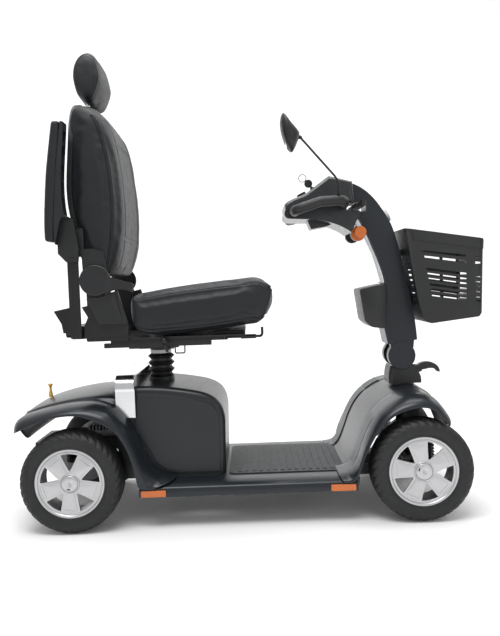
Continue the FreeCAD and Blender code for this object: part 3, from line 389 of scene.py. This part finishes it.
# ------------------------------------------------------------ tyres
def tyre(tag, x, s):
    base = [(105.3, -41, 0), (106.5, -46, 0), (110, -50.5, 0), (116, -54, 0), (122, -56.2, 0), (130, -58.2, 0), (138, -58.9, 0), (144, -58.6, 0),
            (148, -57.8, 0.25), (151.5, -56.2, 0.8), (155, -53.6, 1), (158.3, -50.2, 1), (161, -45.8, 1), (163, -40, 1), (164.2, -32, 0.9), (164.8, -25, 0.35),
            (165.0, -20, 0), (165.0, -17, 2), (165.0, -14, 2), (165.0, -11, 0), (165.0, -5, 0), (165, -2, 2)]
    prof = base + [(r, -y, w) for r, y, w in reversed(base)]
    seg = 288
    verts, faces = [], []
    n = len(prof)
    for i in range(seg):
        a = 2 * math.pi * i / seg
        for r, y, w in prof:
            d = 0.0
            if w == 2:
                d = 4.5
            elif w > 0:
                # slanting shoulder grooves
                ph = (a / (2 * math.pi) * 36 + abs(y) * 0.035 + (0.5 if y > 0 else 0.0)) % 1.0
                g = 1.0 if ph < 0.30 else 0.0
                d = 4.0 * w * g
            verts.append(P(x + (r - d) * math.cos(a), s * 258 + y, 165 + (r - d) * math.sin(a)))
    for i in range(seg):
        k = (i + 1) % seg
        for j in range(n):
            l = (j + 1) % n
            faces.append((i * n + j, i * n + l, k * n + l, k * n + j))
    o = raw("tyre_tread_" + tag, verts, faces, M["tyre"], "wheel_" + tag)
    parts = [o]
    # moulded rings on the side wall
    for r in (117.0, 141.5):
        yy = 55.2 if r < 120 else 58.9
        parts.append(lathe("ring", [(r - 1.2, yy - 0.8), (r - 0.7, yy + 0.3), (r + 0.7, yy + 0.3), (r + 1.2, yy - 0.8)], x, s * 258, 165, "y", M["tyre"], "wheel_" + tag, 120))
        parts.append(lathe("ring", [(r - 1.2, -yy + 0.8), (r - 0.7, -yy - 0.3), (r + 0.7, -yy - 0.3), (r + 1.2, -yy + 0.8)], x, s * 258, 165, "y", M["tyre"], "wheel_" + tag, 120))
    o = join("tyre_" + tag + "_rubber", parts)
    ride(o, "wheel_" + tag)
    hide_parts("tyre_" + tag)


for tag, x, s in (("rear_right", -566.7, -1), ("rear_left", -566.7, 1), ("front_right", 566.7, -1), ("front_left", 566.7, 1)):
    tyre(tag, x, s)


def flat_curve(name, loops, z0, h, bev, mat, body, place):
    """Flat outline with holes given a thickness h and rounded rims; place maps (u, v, w) to building coordinates."""
    cu = bpy.data.curves.new(name, "CURVE")
    cu.dimensions = "2D"
    cu.fill_mode = "BOTH"
    cu.extrude = h / 2.0 - bev
    cu.bevel_depth = bev
    cu.bevel_resolution = 2
    for l in loops:
        sp = cu.splines.new("POLY")
        sp.points.add(len(l) - 1)
        for i, (u, v) in enumerate(l):
            sp.points[i].co = (u, v, 0, 1)
        sp.use_cyclic_u = True
    o = bpy.data.objects.new(name + "_c", cu)
    bpy.context.scene.collection.objects.link(o)
    dg = bpy.context.evaluated_depsgraph_get()
    me = bpy.data.meshes.new_from_object(o.evaluated_get(dg))
    bpy.data.objects.remove(o)
    bpy.data.curves.remove(cu)
    for v in me.vertices:
        v.co = P(*place(v.co.x, v.co.y, z0 + h / 2.0 + v.co.z))
    bm = bmesh.new()
    bm.from_mesh(me)
    bmesh.ops.remove_doubles(bm, verts=bm.verts, dist=1e-6)
    bmesh.ops.recalc_face_normals(bm, faces=bm.faces)
    bm.to_mesh(me)
    bm.free()
    return link(name, me, mat, body)


def rounded(poly_, r, k=4):
    out = []
    m = len(poly_)
    for i in range(m):
        p, c, q = Vector(poly_[i - 1]), Vector(poly_[i]), Vector(poly_[(i + 1) % m])
        a, b = (p - c), (q - c)
        d = min(r, a.length * 0.45, b.length * 0.45)
        a, b = c + a.normalized() * d, c + b.normalized() * d
        for j in range(k + 1):
            t = j / float(k)
            out.append(tuple((1 - t) ** 2 * a + 2 * t * (1 - t) * c + t * t * b))
    return out


def rot(pts, a):
    c, s_ = math.cos(a), math.sin(a)
    return [(x * c - y * s_, x * s_ + y * c) for x, y in pts]


def wheel(tag, x, s, turn, slot_at):
    body = "wheel_" + tag

    def place(u, v, w):
        return (x + u, s * (258 + w), 165 + v)
    m = M["wheel_silver"]
    hole = [(39, -2.5), (72, -19.5), (92, -29.0)] + [(97.0 * math.cos(t), 97.0 * math.sin(t)) for t in [math.radians(q) for q in (-15, -10, -5, 0, 5, 10, 15)]] + [(92, 29.0), (72, 19.5), (39, 2.5)]
    hole = rounded(hole, 3.2, 3)
    loops = [[(101.5 * math.cos(2 * math.pi * i / 96), 101.5 * math.sin(2 * math.pi * i / 96)) for i in range(96)]]
    for k in range(5):
        loops.append(rot(hole, math.radians(turn + 36 + 72 * k)))
    parts = [flat_curve("spokes", loops, 40.5, 8.0, 1.6, m, body, place)]
    for k in range(5):
        plate = rounded([(26, -11.5), (60, -17), (83, -22.5), (83, 22.5), (60, 17), (26, 11.5)], 4)
        parts.append(flat_curve("plate", [rot(plate, math.radians(turn + 72 * k))], 47.0, 3.0, 1.0, m, body, place))
        step = rounded([(86.5, -21.5), (96.5, -21.5), (96.5, 21.5), (86.5, 21.5)], 3)
        inner = rounded([(88.6, -18.5), (95.4, -18.5), (95.4, 18.5), (88.6, 18.5)], 2)
        parts.append(flat_curve("step", [rot(step, math.radians(turn + 72 * k)), rot(inner, math.radians(turn + 72 * k))], 47.0, 2.4, 0.6, m, body, place))
    # barrel with lip on both sides
    prof = [(101, -46), (101, 40), (101.5, 46), (104.5, 51.5), (107.5, 53.2), (111, 53.0), (112.6, 51.6), (111.5, 50.4), (108.8, 49.6), (105, 41), (105, -41), (108.8, -49.6), (111.5, -50.4), (112.6, -51.6), (111, -53), (107.5, -53.2), (103, -50)]
    parts.append(lathe("barrel", [(r, s * y) for r, y in prof], x, s * 258, 165, "y", m, body, 96))
    # hub behind the disc, cap with its ring groove
    parts.append(lathe("hub", [(10.2, s * -12), (24, s * -12), (24, s * 41), (30, s * 44), (10.2, s * 44)], x, s * 258, 165, "y", m, body, 48))
    parts.append(lathe("cap", [(0.01, s * 55.2), (14, s * 55.0), (24.5, s * 54.2), (26.3, s * 52.8), (26.6, s * 50.5), (28.2, s * 50.5), (28.6, s * 52.8), (30.2, s * 53.2), (31.5, s * 51.8), (33, s * 47), (0.01, s * 47)], x, s * 258, 165, "y", m, body, 72))
    o = join("rim_" + tag + "_cast", parts)
    bv = [p for p in o.data.polygons]
    ride(o, body)
    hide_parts("rim_" + tag)
    # dark key slot in the cap
    q = flat_curve("cap_slot_" + tag, [rot(rounded([(-1.5, -5.0), (2.0, -5.0), (2.0, 5.0), (-1.5, 5.0)], 1.2), math.radians(slot_at))], 54.6, 1.2, 0.3, M["black_plastic"], body,
                   lambda u, v, w: (x + u + 17.5 * math.cos(math.radians(slot_at)), s * (258 + w), 165 + v + 17.5 * math.sin(math.radians(slot_at))))
    ride(q, body)


for tag, x, s, turn, sa in (("rear_right", -566.7, -1, 53, -100), ("rear_left", -566.7, 1, 53, -100), ("front_right", 566.7, -1, 29, 155), ("front_left", 566.7, 1, 29, 155)):
    wheel(tag, x, s, turn, sa)

fw = lathe("freewheel_knob", [(0.01, 447.5), (7.2, 447.5), (9.0, 446.4), (9.2, 443.2), (7.6, 441.2), (5.2, 438.5), (4.3, 433), (4.4, 427), (5.6, 420), (7.6, 410), (8.4, 402), (8.2, 400), (0.01, 400)], -702, 0, 0, "z", M[SUB["freewheel_lever"]], "freewheel", 40)
ride(fw, "freewheel")
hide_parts("freewheel_lever")

# ------------------------------------------------------------ wheel shrouds
R_R = [(-749, 352), (-735, 367), (-700, 381), (-630, 398), (-560, 408), (-500, 409), (-455, 399), (-430, 386), (-401, 353), (-378, 318), (-357, 277), (-338, 232), (-318, 190), (-292, 164), (-262, 153.5), (-236, 150)]
R_E = [(-749, 324), (-732, 335), (-700, 350), (-637, 374), (-576, 383.5), (-527, 381), (-475, 363), (-445, 347), (-415, 325), (-396, 300), (-379, 268), (-365, 228), (-355, 178), (-351, 150), (-337, 135.5), (-300, 134)]


def lerp(a, b, t):
    return tuple(a[k] + (b[k] - a[k]) * t for k in range(len(a)))


def shroud_rows(Rp, Ep, ys, yo, n=3):
    """Rows across the flare from the ridge line to the outer edge."""
    Rq, Eq, Yq = cr(Rp, n), cr(Ep, n), cr([(v, 0) for v in yo], n)
    rows = []
    for r, e, y in zip(Rq, Eq, Yq):
        row = []
        for yy in ys[0]:
            row.append((r[0], yy, r[1]))
        for f, w in ys[1]:
            # f: share of the way out in y, w: share of the way down
            q = lerp(r, e, w)
            row.append((q[0], ys[0][-1] + (y[0] - ys[0][-1]) * f, q[1]))
        rows.append(row)
    return rows


FL = [(0.25, 0.05), (0.5, 0.18), (0.72, 0.36), (0.88, 0.60), (0.965, 0.80), (1.0, 0.95), (0.985, 1.0)]
yo_r = [262, 296, 304, 305, 305, 305, 305, 305, 305, 305, 305, 305, 303, 299, 294, 290]
objs = []
for s in (-1, 1):
    rows = shroud_rows(R_R, R_E, ([196, 215, 236], FL), yo_r, 3)
    rows = [[(x, s * y, z) for x, y, z in r] for r in rows]
    objs.append(grid("flare", rows, M["body_graphite"], "chassis", thick=4.0, sub=1, off=(-1 if s > 0 else 1)))
C_R = [(-749, 364), (-735, 382), (-700, 398), (-630, 416), (-560, 428), (-500, 434), (-455, 436), (-430, 436)]
rows = []
for i, (c, r) in enumerate(zip(cr(C_R, 3), cr(R_R[:8], 3))):
    row = []
    for y, w in ((-198, 1.0), (-192, 0.93), (-186, 0.70), (-181, 0.50), (-174, 0.40), (-150, 0.26), (-100, 0.10), (-50, 0.02), (0, 0.0)):
        q = lerp(c, r, w)
        row.append((c[0], y, q[1]))
    row = row + [(x, -y, z) for x, y, z in reversed(row[:-1])]
    rows.append(row)
objs.append(grid("hood", rows, M["body_graphite"], "chassis", thick=4.0, sub=1, off=-1))
# rear apron under the tail
rows = []
for t, (x, z) in enumerate([(-750, 351), (-749, 345), (-745, 330), (-735, 314), (-722, 300)]):
    rows.append([(x + (0.0 if abs(y) < 200 else 6.0), y, z) for y in (-238, -200, -120, 0, 120, 200, 238)])
objs.append(grid("apron", rows, M["body_graphite"], "chassis", thick=4.0, sub=1, off=0))
o = join("rear_shroud_skin", objs)
ride(o, "chassis")
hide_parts("rear_shroud")

F_R = [(300, 149), (322, 151), (346, 162), (368, 200), (384, 245), (402, 288), (424, 325), (450, 355), (484, 381), (520, 397), (552, 404), (580, 404), (606, 396), (628, 378), (648, 352), (662, 330)]
F_E = [(312, 134), (342, 135.5), (356, 150), (364, 176), (376, 208), (392, 244), (412, 280), (436, 312), (462, 336), (494, 356), (530, 367), (563, 371), (592, 367), (616, 353), (637, 331), (654, 306)]
yo_f = [289, 292, 296, 299, 301, 302, 302, 302, 302, 302, 302, 302, 302, 302, 301, 298]
objs = []
for s in (-1, 1):
    rows = shroud_rows(F_R, F_E, ([150, 195, 240], FL), yo_f, 3)
    rows = [[(x, s * y, z) for x, y, z in r] for r in rows]
    objs.append(grid("flare_f", rows, M["body_graphite"], "chassis", thick=4.0, sub=1, off=(-1 if s > 0 else 1)))
F_C = [(330, 150), (350, 168), (370, 212), (388, 262), (412, 312), (444, 352), (482, 380), (520, 398), (560, 408), (592, 407), (618, 398), (642, 380), (664, 352), (688, 312), (708, 262), (721, 208)]
W_C = [152] * 10 + [140, 118, 104, 98, 95, 92]
rows = []
for c, w in zip(cr(F_C, 3), cr([(v, 0) for v in W_C], 3)):
    w = w[0]
    rows.append([(c[0], w * f, c[1] - d) for f, d in ((-1, 9), (-0.985, 3), (-0.93, 0.3), (-0.6, 0), (0, 0), (0.6, 0), (0.93, 0.3), (0.985, 3), (1, 9))])
objs.append(grid("nose", rows, M["body_graphite"], "chassis", thick=4.0, sub=1, off=-1))
o = join("front_shroud_skin", objs)
ride(o, "chassis")
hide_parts("front_shroud")

# ------------------------------------------------------------ post bellows
pts = []
z = 463.5
prof = [(44, 464)]
for zp in (488, 512, 536):
    prof += [(36, zp - 12.5), (46.5, zp - 1.2), (47.5, zp), (46.5, zp + 1.2)]
prof += [(36, 549)]
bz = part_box("post_bellows")
top = bz[1].z * 1000 if hasattr(bz[1], "z") else bz[1][2] * 1000
bot = bz[0].z * 1000 if hasattr(bz[0], "z") else bz[0][2] * 1000
full = prof + [(34.2, top - 1), (33.9, top - 4)] + [(max(33.9, r - 3), zz) for r, zz in reversed(prof[1:])] + [(34, bot + 0.5)]
full = [(r, min(max(zz, bot + 0.2), top - 0.5)) for r, zz in full]
o = lathe("bellows_skin", full, -297, 0, 0, "z", M["bellows_rubber"], "chassis", 72)
ride(o, "chassis")
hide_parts("post_bellows")


# ------------------------------------------------------------ padded pieces
def block(name, slices, mat, body):
    """Closed form from rings of equal length, ends capped."""
    n = len(slices[0])
    verts = [P(*p) for r in slices for p in r]
    faces = []
    for i in range(len(slices) - 1):
        for j in range(n):
            a, b = i * n + j, i * n + (j + 1) % n
            faces.append((a, b, b + n, a + n))
    faces.append(tuple(reversed(range(n))))
    faces.append(tuple(range((len(slices) - 1) * n, len(slices) * n)))
    return raw(name, verts, faces, mat, body)


def inset(pts, cx, cz, kx, kz):
    return [(cx + (x - cx) * kx, cz + (z - cz) * kz) for x, z in pts]


def puff(o, voxel=0.006, pressure=3.5, cap=0.010, pins=None, frames=18, sub=1, shrink=0.0):
    """Remesh, inflate as cloth, cap how far a point moves, apply."""
    r = o.modifiers.new("remesh", "REMESH")
    r.mode = "VOXEL"
    r.voxel_size = voxel
    apply_mods(o)
    sm = o.modifiers.new("sm", "SMOOTH")
    sm.factor = 0.5
    sm.iterations = 6
    apply_mods(o)
    rest = [v.co.copy() for v in o.data.vertices]
    g = o.vertex_groups.new(name="pin")
    if pins:
        for i, c in enumerate(rest):
            w = pins(c)
            if w > 0:
                g.add([i], w, "REPLACE")
    c = o.modifiers.new("cloth", "CLOTH")
    st = c.settings
    st.quality = 5
    st.mass = 0.3
    st.use_pressure = True
    st.uniform_pressure_force = pressure
    st.effector_weights.gravity = 0.0
    st.tension_stiffness = st.compression_stiffness = 12
    st.bending_stiffness = 0.8
    if pins:
        st.vertex_group_mass = "pin"
    c.collision_settings.use_collision = False
    c.point_cache.frame_start = 1
    c.point_cache.frame_end = frames
    for f in range(1, frames + 1):
        bpy.context.scene.frame_set(f)
    apply_mods(o)
    bpy.context.scene.frame_set(1)
    for v, r0 in zip(o.data.vertices, rest):
        d = v.co - r0
        if d.length > cap:
            v.co = r0 + d.normalized() * cap
    o.vertex_groups.clear()
    sm = o.modifiers.new("sm", "SMOOTH")
    sm.factor = 0.4
    sm.iterations = 4
    if sub:
        s = o.modifiers.new("sub", "SUBSURF")
        s.levels = s.render_levels = sub
    apply_mods(o)
    smooth(o)


def seam(o, lines, width=4.0, depth=2.5, lift=1.2):
    """Sewn channel along lines: a groove with the cloth puffed each side of it."""
    pts = [P(*p) for l in lines for p in cr(l, 30)]
    kd = kdtree.KDTree(len(pts))
    for i, p in enumerate(pts):
        kd.insert(p, i)
    kd.balance()
    me = o.data
    nrm = [v.normal.copy() for v in me.vertices]
    w, dp, lf = width / 1000.0, depth / 1000.0, lift / 1000.0
    for v, nr in zip(me.vertices, nrm):
        _, _, d = kd.find(v.co)
        if d < w * 5:
            v.co += nr * (-dp * math.exp(-(d / w) ** 2) + lf * math.exp(-((d - 2.4 * w) / (1.3 * w)) ** 2))


def wrinkle(o, amp, scale, seed, only=None):
    me = o.data
    nrm = [v.normal.copy() for v in me.vertices]
    for v, nr in zip(me.vertices, nrm):
        k = only(v.co) if only else 1.0
        if k:
            v.co += nr * (amp * 0.001 * k * noise.fractal(v.co * scale + Vector((seed, seed * 2.0, 0)), 0.8, 2.0, 4))


def snap(o, pts, lift=0.0):
    """Each point moved onto the nearest place of o's surface."""
    out = []
    for p in pts:
        ok, co, nr, _ = o.closest_point_on_mesh(P(*p))
        c = co + nr * (lift / 1000.0)
        out.append((c.x * 1000 + XC, c.y * 1000, c.z * 1000))
    return out


# seat cushion
SIDE = crc([(-363, 757), (-334, 757), (-219, 774), (-100, 786), (18, 796), (61, 796), (84, 787), (104, 778), (108, 766), (104, 742), (94, 706), (82, 676), (68, 660), (24, 657), (-87, 641), (-264, 630), (-350, 645), (-362, 700)], 3)
sl = []
W = 236.0
for f, k, dz in ((-1.0, 0.90, 0), (-0.975, 0.955, 0), (-0.9, 0.985, 0), (-0.7, 1.0, 0), (-0.35, 1.0, -3), (0, 1.0, -5), (0.35, 1.0, -3), (0.7, 1.0, 0), (0.9, 0.985, 0), (0.975, 0.955, 0), (1.0, 0.90, 0)):
    q = inset(SIDE, -120, 712, 1 - (1 - k) * 0.45, k)
    sl.append([(x, W * f, z + (dz if z > 740 else 0)) for x, z in q])
seat = block("seat_cushion_pad", sl, M["vinyl"], "seat")
t0 = 0
puff(seat, 0.006, 3.0, 0.007, frames=16)
top = [(-340, 751), (-219, 768), (-100, 780), (0, 788), (50, 789), (82, 781), (100, 768)]
lines = []
for s in (-1, 1):
    lines.append(snap(seat, [(x, s * 233, z) for x, z in cr(top, 6)]))
    lines.append(snap(seat, [(x, s * 150, z + 20) for x, z in cr([(-340, 756), (-100, 788), (40, 800), (84, 792), (102, 776)], 6)]))
lines.append(snap(seat, [(104, y, 768) for y in range(-230, 231, 20)]))
lines.append(snap(seat, [(84, y, 674) for y in range(-230, 231, 20)]))
lines.append(snap(seat, [(x, -240, z) for x, z in cr([(-348, 648), (-264, 634), (-87, 646), (24, 660), (70, 662), (84, 678)], 5)]))
lines.append(snap(seat, [(x, 240, z) for x, z in cr([(-348, 648), (-264, 634), (-87, 646), (24, 660), (70, 662), (84, 678)], 5)]))
seam(seat, lines, 3.2, 2.4, 1.0)
wrinkle(seat, 1.4, 9.0, 3.0)
ride(seat, "seat")
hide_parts("seat_cushion")
pip = []
for i, s in enumerate((-1, 1)):
    pip.append(tube("pipe", snap(seat, lines[2 * i], 0.8), 1.7, M["piping"], "seat", fine=2))
o = join("seat_cushion_piping", pip)
ride(o, "seat")

# backrest
fr = [(-426, 838), (-404, 912), (-396, 970), (-393, 1040), (-396, 1124), (-404, 1200), (-414, 1262), (-430, 1312), (-452, 1352), (-492, 1378), (-524, 1374), (-536, 1340), (-540, 1290), (-544, 1198), (-547, 1098), (-546, 1020), (-532, 968), (-516, 905), (-500, 850), (-470, 822), (-440, 820)]
FR = crc(fr, 3)
sl = []
W = 232.0
for f, k, bz_, in ((-1.0, 0.90, 0), (-0.975, 0.95, 0), (-0.9, 0.985, 2), (-0.7, 1.0, 6), (-0.35, 1.0, 4), (0, 1.0, 3), (0.35, 1.0, 4), (0.7, 1.0, 6), (0.9, 0.985, 2), (0.975, 0.95, 0), (1.0, 0.90, 0)):
    # the top corners drop towards the sides
    crown = 26.0 * (1.0 - abs(f) ** 2.6)
    q = inset(FR, -480, 1090, k, 1 - (1 - k) * 0.35)
    sl.append([(x + (bz_ if x > -440 else 0), W * f, z + crown * max(0.0, (z - 1150) / 230.0) ** 1.5) for x, z in q])
back = block("back_cushion_pad", sl, M["vinyl"], "backrest")
puff(back, 0.006, 3.0, 0.006, frames=16)
sidel = [(-455, 1342), (-436, 1306), (-421, 1254), (-408, 1190), (-403, 1124), (-400, 1028), (-408, 940), (-420, 880), (-432, 840)]
lines = []
for s in (-1, 1):
    lines.append(snap(back, [(x, s * 240, z) for x, z in cr(sidel, 4)]))
    lines.append(snap(back, [(x + 20, s * 128, z) for x, z in cr([(-450, 1352), (-425, 1300), (-402, 1190), (-397, 1040), (-402, 930), (-424, 850)], 4)]))
lines.append(snap(back, [(-380, y, 1268 + 14 * math.cos(y / 120.0)) for y in range(-126, 127, 14)]))
lines.append(snap(back, [(-380, y, 952) for y in range(-126, 127, 14)]))
seam(back, lines, 3.2, 2.6, 1.2)
wrinkle(back, 1.6, 8.0, 7.0)
ride(back, "backrest")
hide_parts("back_cushion")
pip = [tube("pipe", snap(back, lines[2 * i], 0.8), 1.7, M["piping"], "backrest", fine=2) for i in (0, 1)]
o = join("back_cushion_piping", pip)
ride(o, "backrest")

# headrest
HR = crc([(-545, 1522), (-531, 1570), (-500, 1593), (-472, 1582), (-457, 1540), (-452, 1496), (-462, 1458), (-482, 1421), (-512, 1420), (-539, 1452)], 4)
sl = []
W = 122.0
for f, k in ((-1.0, 0.62), (-0.97, 0.80), (-0.88, 0.93), (-0.68, 0.99), (0, 1.0), (0.68, 0.99), (0.88, 0.93), (0.97, 0.80), (1.0, 0.62)):
    q = inset(HR, -500, 1503, k, k)
    up_ = 12.0 * abs(f) ** 3
    sl.append([(x, W * f, z + (up_ if z < 1503 else -up_)) for x, z in q])
hr = block("headrest_pad", sl, M["vinyl"], "headrest")
puff(hr, 0.005, 3.0, 0.004, frames=14)
lines = [snap(hr, [(-500 + 0 * y, y, 1600) for y in range(-100, 101, 10)])]
ring = crc([(-497, 1580), (-497, 1580)], 1)
lines = []
for s in (-1, 1):
    lines.append(snap(hr, [(x, s * 112, z) for x, z in crc([(-536, 1519), (-524, 1556), (-498, 1574), (-474, 1566), (-465, 1535), (-461, 1492), (-470, 1456), (-488, 1417), (-513, 1420), (-533, 1448)], 4)]))
seam(hr, lines, 2.6, 1.6, 0.7)
wrinkle(hr, 0.8, 12.0, 11.0)
ride(hr, "headrest")
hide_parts("headrest_cushion")

# armrest pads
for s, side in ((-1, "right"), (1, "left")):
    lo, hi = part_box("armrest_pad_" + side)
    lo = [lo[i] * 1000 for i in range(3)]
    hi = [hi[i] * 1000 for i in range(3)]
    o = NODES["armrest_pad_" + side]
    me = o.data.copy()
    p = link("arm_pad_" + side + "_soft", me, M["vinyl"], "armrest_" + side)
    sc = 0.965
    c = Vector(((lo[0] + hi[0]) / 2000.0, (lo[1] + hi[1]) / 2000.0, (lo[2] + hi[2]) / 2000.0))
    p.data.materials.clear()
    p.data.materials.append(M["vinyl"])
    for v in p.data.vertices:
        v.co = c + (v.co - c) * sc
    w = p.modifiers.new("w", "WELD")
    w.merge_threshold = 0.0002
    apply_mods(p)
    puff(p, 0.0045, 2.5, 0.003, frames=12)
    wrinkle(p, 0.5, 14.0, 5.0 + s)
    ride(p, "armrest_" + side)
    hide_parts("armrest_pad_" + side)

# mirror head: a deep leaf-shaped housing round its glass
MO = crc([(155, 1320), (147, 1294), (151, 1252), (163, 1214), (176, 1196), (186, 1203), (198, 1231), (203, 1249), (199, 1262), (178, 1291), (164, 1314)], 3)
sl = []
for f, k in ((-1.0, 0.08), (-0.97, 0.34), (-0.88, 0.60), (-0.7, 0.82), (-0.4, 0.96), (0, 1.0), (0.4, 0.96), (0.7, 0.82), (0.88, 0.60), (0.97, 0.34), (1.0, 0.08)):
    q = inset(MO, 168, 1256, k, k)
    sl.append([(x + 6 * (1 - k), -262 + 52 * f, z) for x, z in q])
sl = [[(176 + (x - 176) * 1.12, y, z) for x, y, z in r_] for r_ in sl]
mh = block("mirror_housing", sl, M["black_plastic"], "mirror")
mh.modifiers.new("s", "SUBSURF").levels = 1
gl = []
for f, k in ((0.0, 1), (0.9, 1), (0.93, 0)):
    ring = []
    for i in range(40):
        a = 2 * math.pi * i / 40
        ring.append((f, a))
    gl.append(ring)
gv = []
for ring, dep in ((0.02, -1.0), (0.55, -0.6), (0.80, 0.0), (0.84, 1.5)):
    row = []
    for i in range(48):
        a = 2 * math.pi * i / 48
        # plane of the glass runs from the top edge to the bottom edge
        u = ring * 52 * math.cos(a)
        v = ring * 60 * math.sin(a)
        row.append((157.0 - 0.18 * v + dep - 3.0 - 0.0016 * u * u * 0.0 - (0.0 if ring > 0.82 else 0.6), -262 + u * 0.86, 1256 + v))
    gv.append(row)
glass = grid("mirror_pane", gv, M["mirror_glass"], "mirror", loop=True, sub=0)
ride(mh, "mirror")
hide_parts("mirror_head")
ride(glass, "mirror")

# control box at the back of the steering column
TB = rounded([(412, 750), (455, 759), (506, 767), (508, 700), (500, 640), (500, 609), (452, 616), (428, 637)], 9, 4)
sl = []
for y, k in ((-78, 0.955), (-77.2, 0.975), (-75, 0.99), (-71, 1.0), (71, 1.0), (75, 0.99), (77.2, 0.975), (78, 0.955)):
    q = inset(TB, 462, 690, k, k)
    sl.append([(x, y, z) for x, z in q])
tb = block("tiller_box_case", sl, M["black_plastic"], "tiller")
ride(tb, "tiller")
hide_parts("tiller_box")

# ------------------------------------------------------------ two finishes on some CAD nodes
split_mat("tiller_lamps", lambda c: mm(c)[0] > 470, M["lamp_lens"])
split_mat("tiller_lamps", lambda c: mm(c)[0] < 470 and abs(mm(c)[1]) < 77.9, M["black_plastic"])
for s_ in NODES["ignition_key"].material_slots:
    s_.material = M["steel_black"]
split_mat("reflectors", lambda c: mm(c)[0] < -600, M["red_lens"])

# edges of carried-over nodes get a small radius
for n, o in NODES.items():
    if o.type != "MESH" or n in ("tyre_rear_right",):
        continue
    if o.hide_render:
        continue
    w = o.modifiers.new("weld", "WELD")
    w.merge_threshold = 0.00002
    b = o.modifiers.new("bev", "BEVEL")
    b.width = {"tiller_column": 0.009, "tiller_box": 0.006, "steering_base": 0.006, "console_upper": 0.003, "console_lower": 0.003, "battery_doors": 0.0016}.get(n, 0.0012)
    b.segments = 4 if b.width > 0.002 else 2
    b.limit_method = "ANGLE"
    b.angle_limit = math.radians(38)
    b.use_clamp_overlap = True
    b.harden_normals = False
    wn = o.modifiers.new("wn", "WEIGHTED_NORMAL")
    wn.keep_sharp = False
    for p in o.data.polygons:
        p.use_smooth = True

# ------------------------------------------------------------ stage
fl = bpy.data.meshes.new("floor")
vs, fs = [], []
prof = [(-7.0, 0.0)] + [(1.6 + 1.2 * math.sin(a), 1.2 - 1.2 * math.cos(a)) for a in [math.pi / 2 * k / 12 for k in range(13)]] + [(2.8, 6.0)]
for y, z in prof:
    vs += [(-9, y, z - 0.0005), (9, y, z - 0.0005)]
for i in range(len(prof) - 1):
    fs.append((2 * i, 2 * i + 1, 2 * i + 3, 2 * i + 2))
fl.from_pydata(vs, [], fs)
flo = bpy.data.objects.new("floor_sweep", fl)
bpy.context.scene.collection.objects.link(flo)
fl.materials.append(M["floor"])
for p in fl.polygons:
    p.use_smooth = True

w = bpy.data.worlds.new("w")
bpy.context.scene.world = w
w.use_nodes = True
w.node_tree.nodes["Background"].inputs[0].default_value = (1, 1, 1, 1)
w.node_tree.nodes["Background"].inputs[1].default_value = 0.62
bpy.context.scene.view_settings.view_transform = "Standard"


def area(name, loc, tgt, size, power, sy=None):
    l = bpy.data.lights.new(name, "AREA")
    l.shape = "RECTANGLE"
    l.size = size
    l.size_y = sy or size
    l.energy = power
    o = bpy.data.objects.new(name, l)
    bpy.context.scene.collection.objects.link(o)
    o.location = loc
    d = Vector(tgt) - Vector(loc)
    o.rotation_euler = d.to_track_quat("-Z", "Y").to_euler()
    return o


area("key", (-0.6, -1.6, 3.9), (0, 0, 0.5), 2.6, 95, 1.4)
area("top", (0.2, 0.6, 3.9), (0, 0, 0.4), 3.0, 80, 1.8)
area("rim", (2.8, 1.6, 2.4), (0, 0, 0.7), 1.2, 10)
area("fill", (2.0, -3.2, 1.4), (0.2, 0, 0.6), 1.6, 7)

# ------------------------------------------------------------ camera
yaw, pitch, roll = math.radians(0.08), math.radians(3.0), math.radians(-2.02)
fw = Vector((-math.sin(yaw) * math.cos(pitch), math.cos(yaw) * math.cos(pitch), -math.sin(pitch)))
rt = Vector((math.cos(yaw), math.sin(yaw), 0))
up = rt.cross(fw)
r2 = rt * math.cos(roll) + up * math.sin(roll)
u2 = -rt * math.sin(roll) + up * math.cos(roll)
cam = bpy.data.cameras.new("cam")
cam.sensor_width = 36
cam.lens = 39.62
cam.clip_end = 60
co = bpy.data.objects.new("cam", cam)
bpy.context.scene.collection.objects.link(co)
co.matrix_world = Matrix(((r2.x, u2.x, -fw.x, (31.18 - XC) / 1000), (r2.y, u2.y, -fw.y, -2.51461), (r2.z, u2.z, -fw.z, 0.79107), (0, 0, 0, 1)))
bpy.context.scene.camera = co
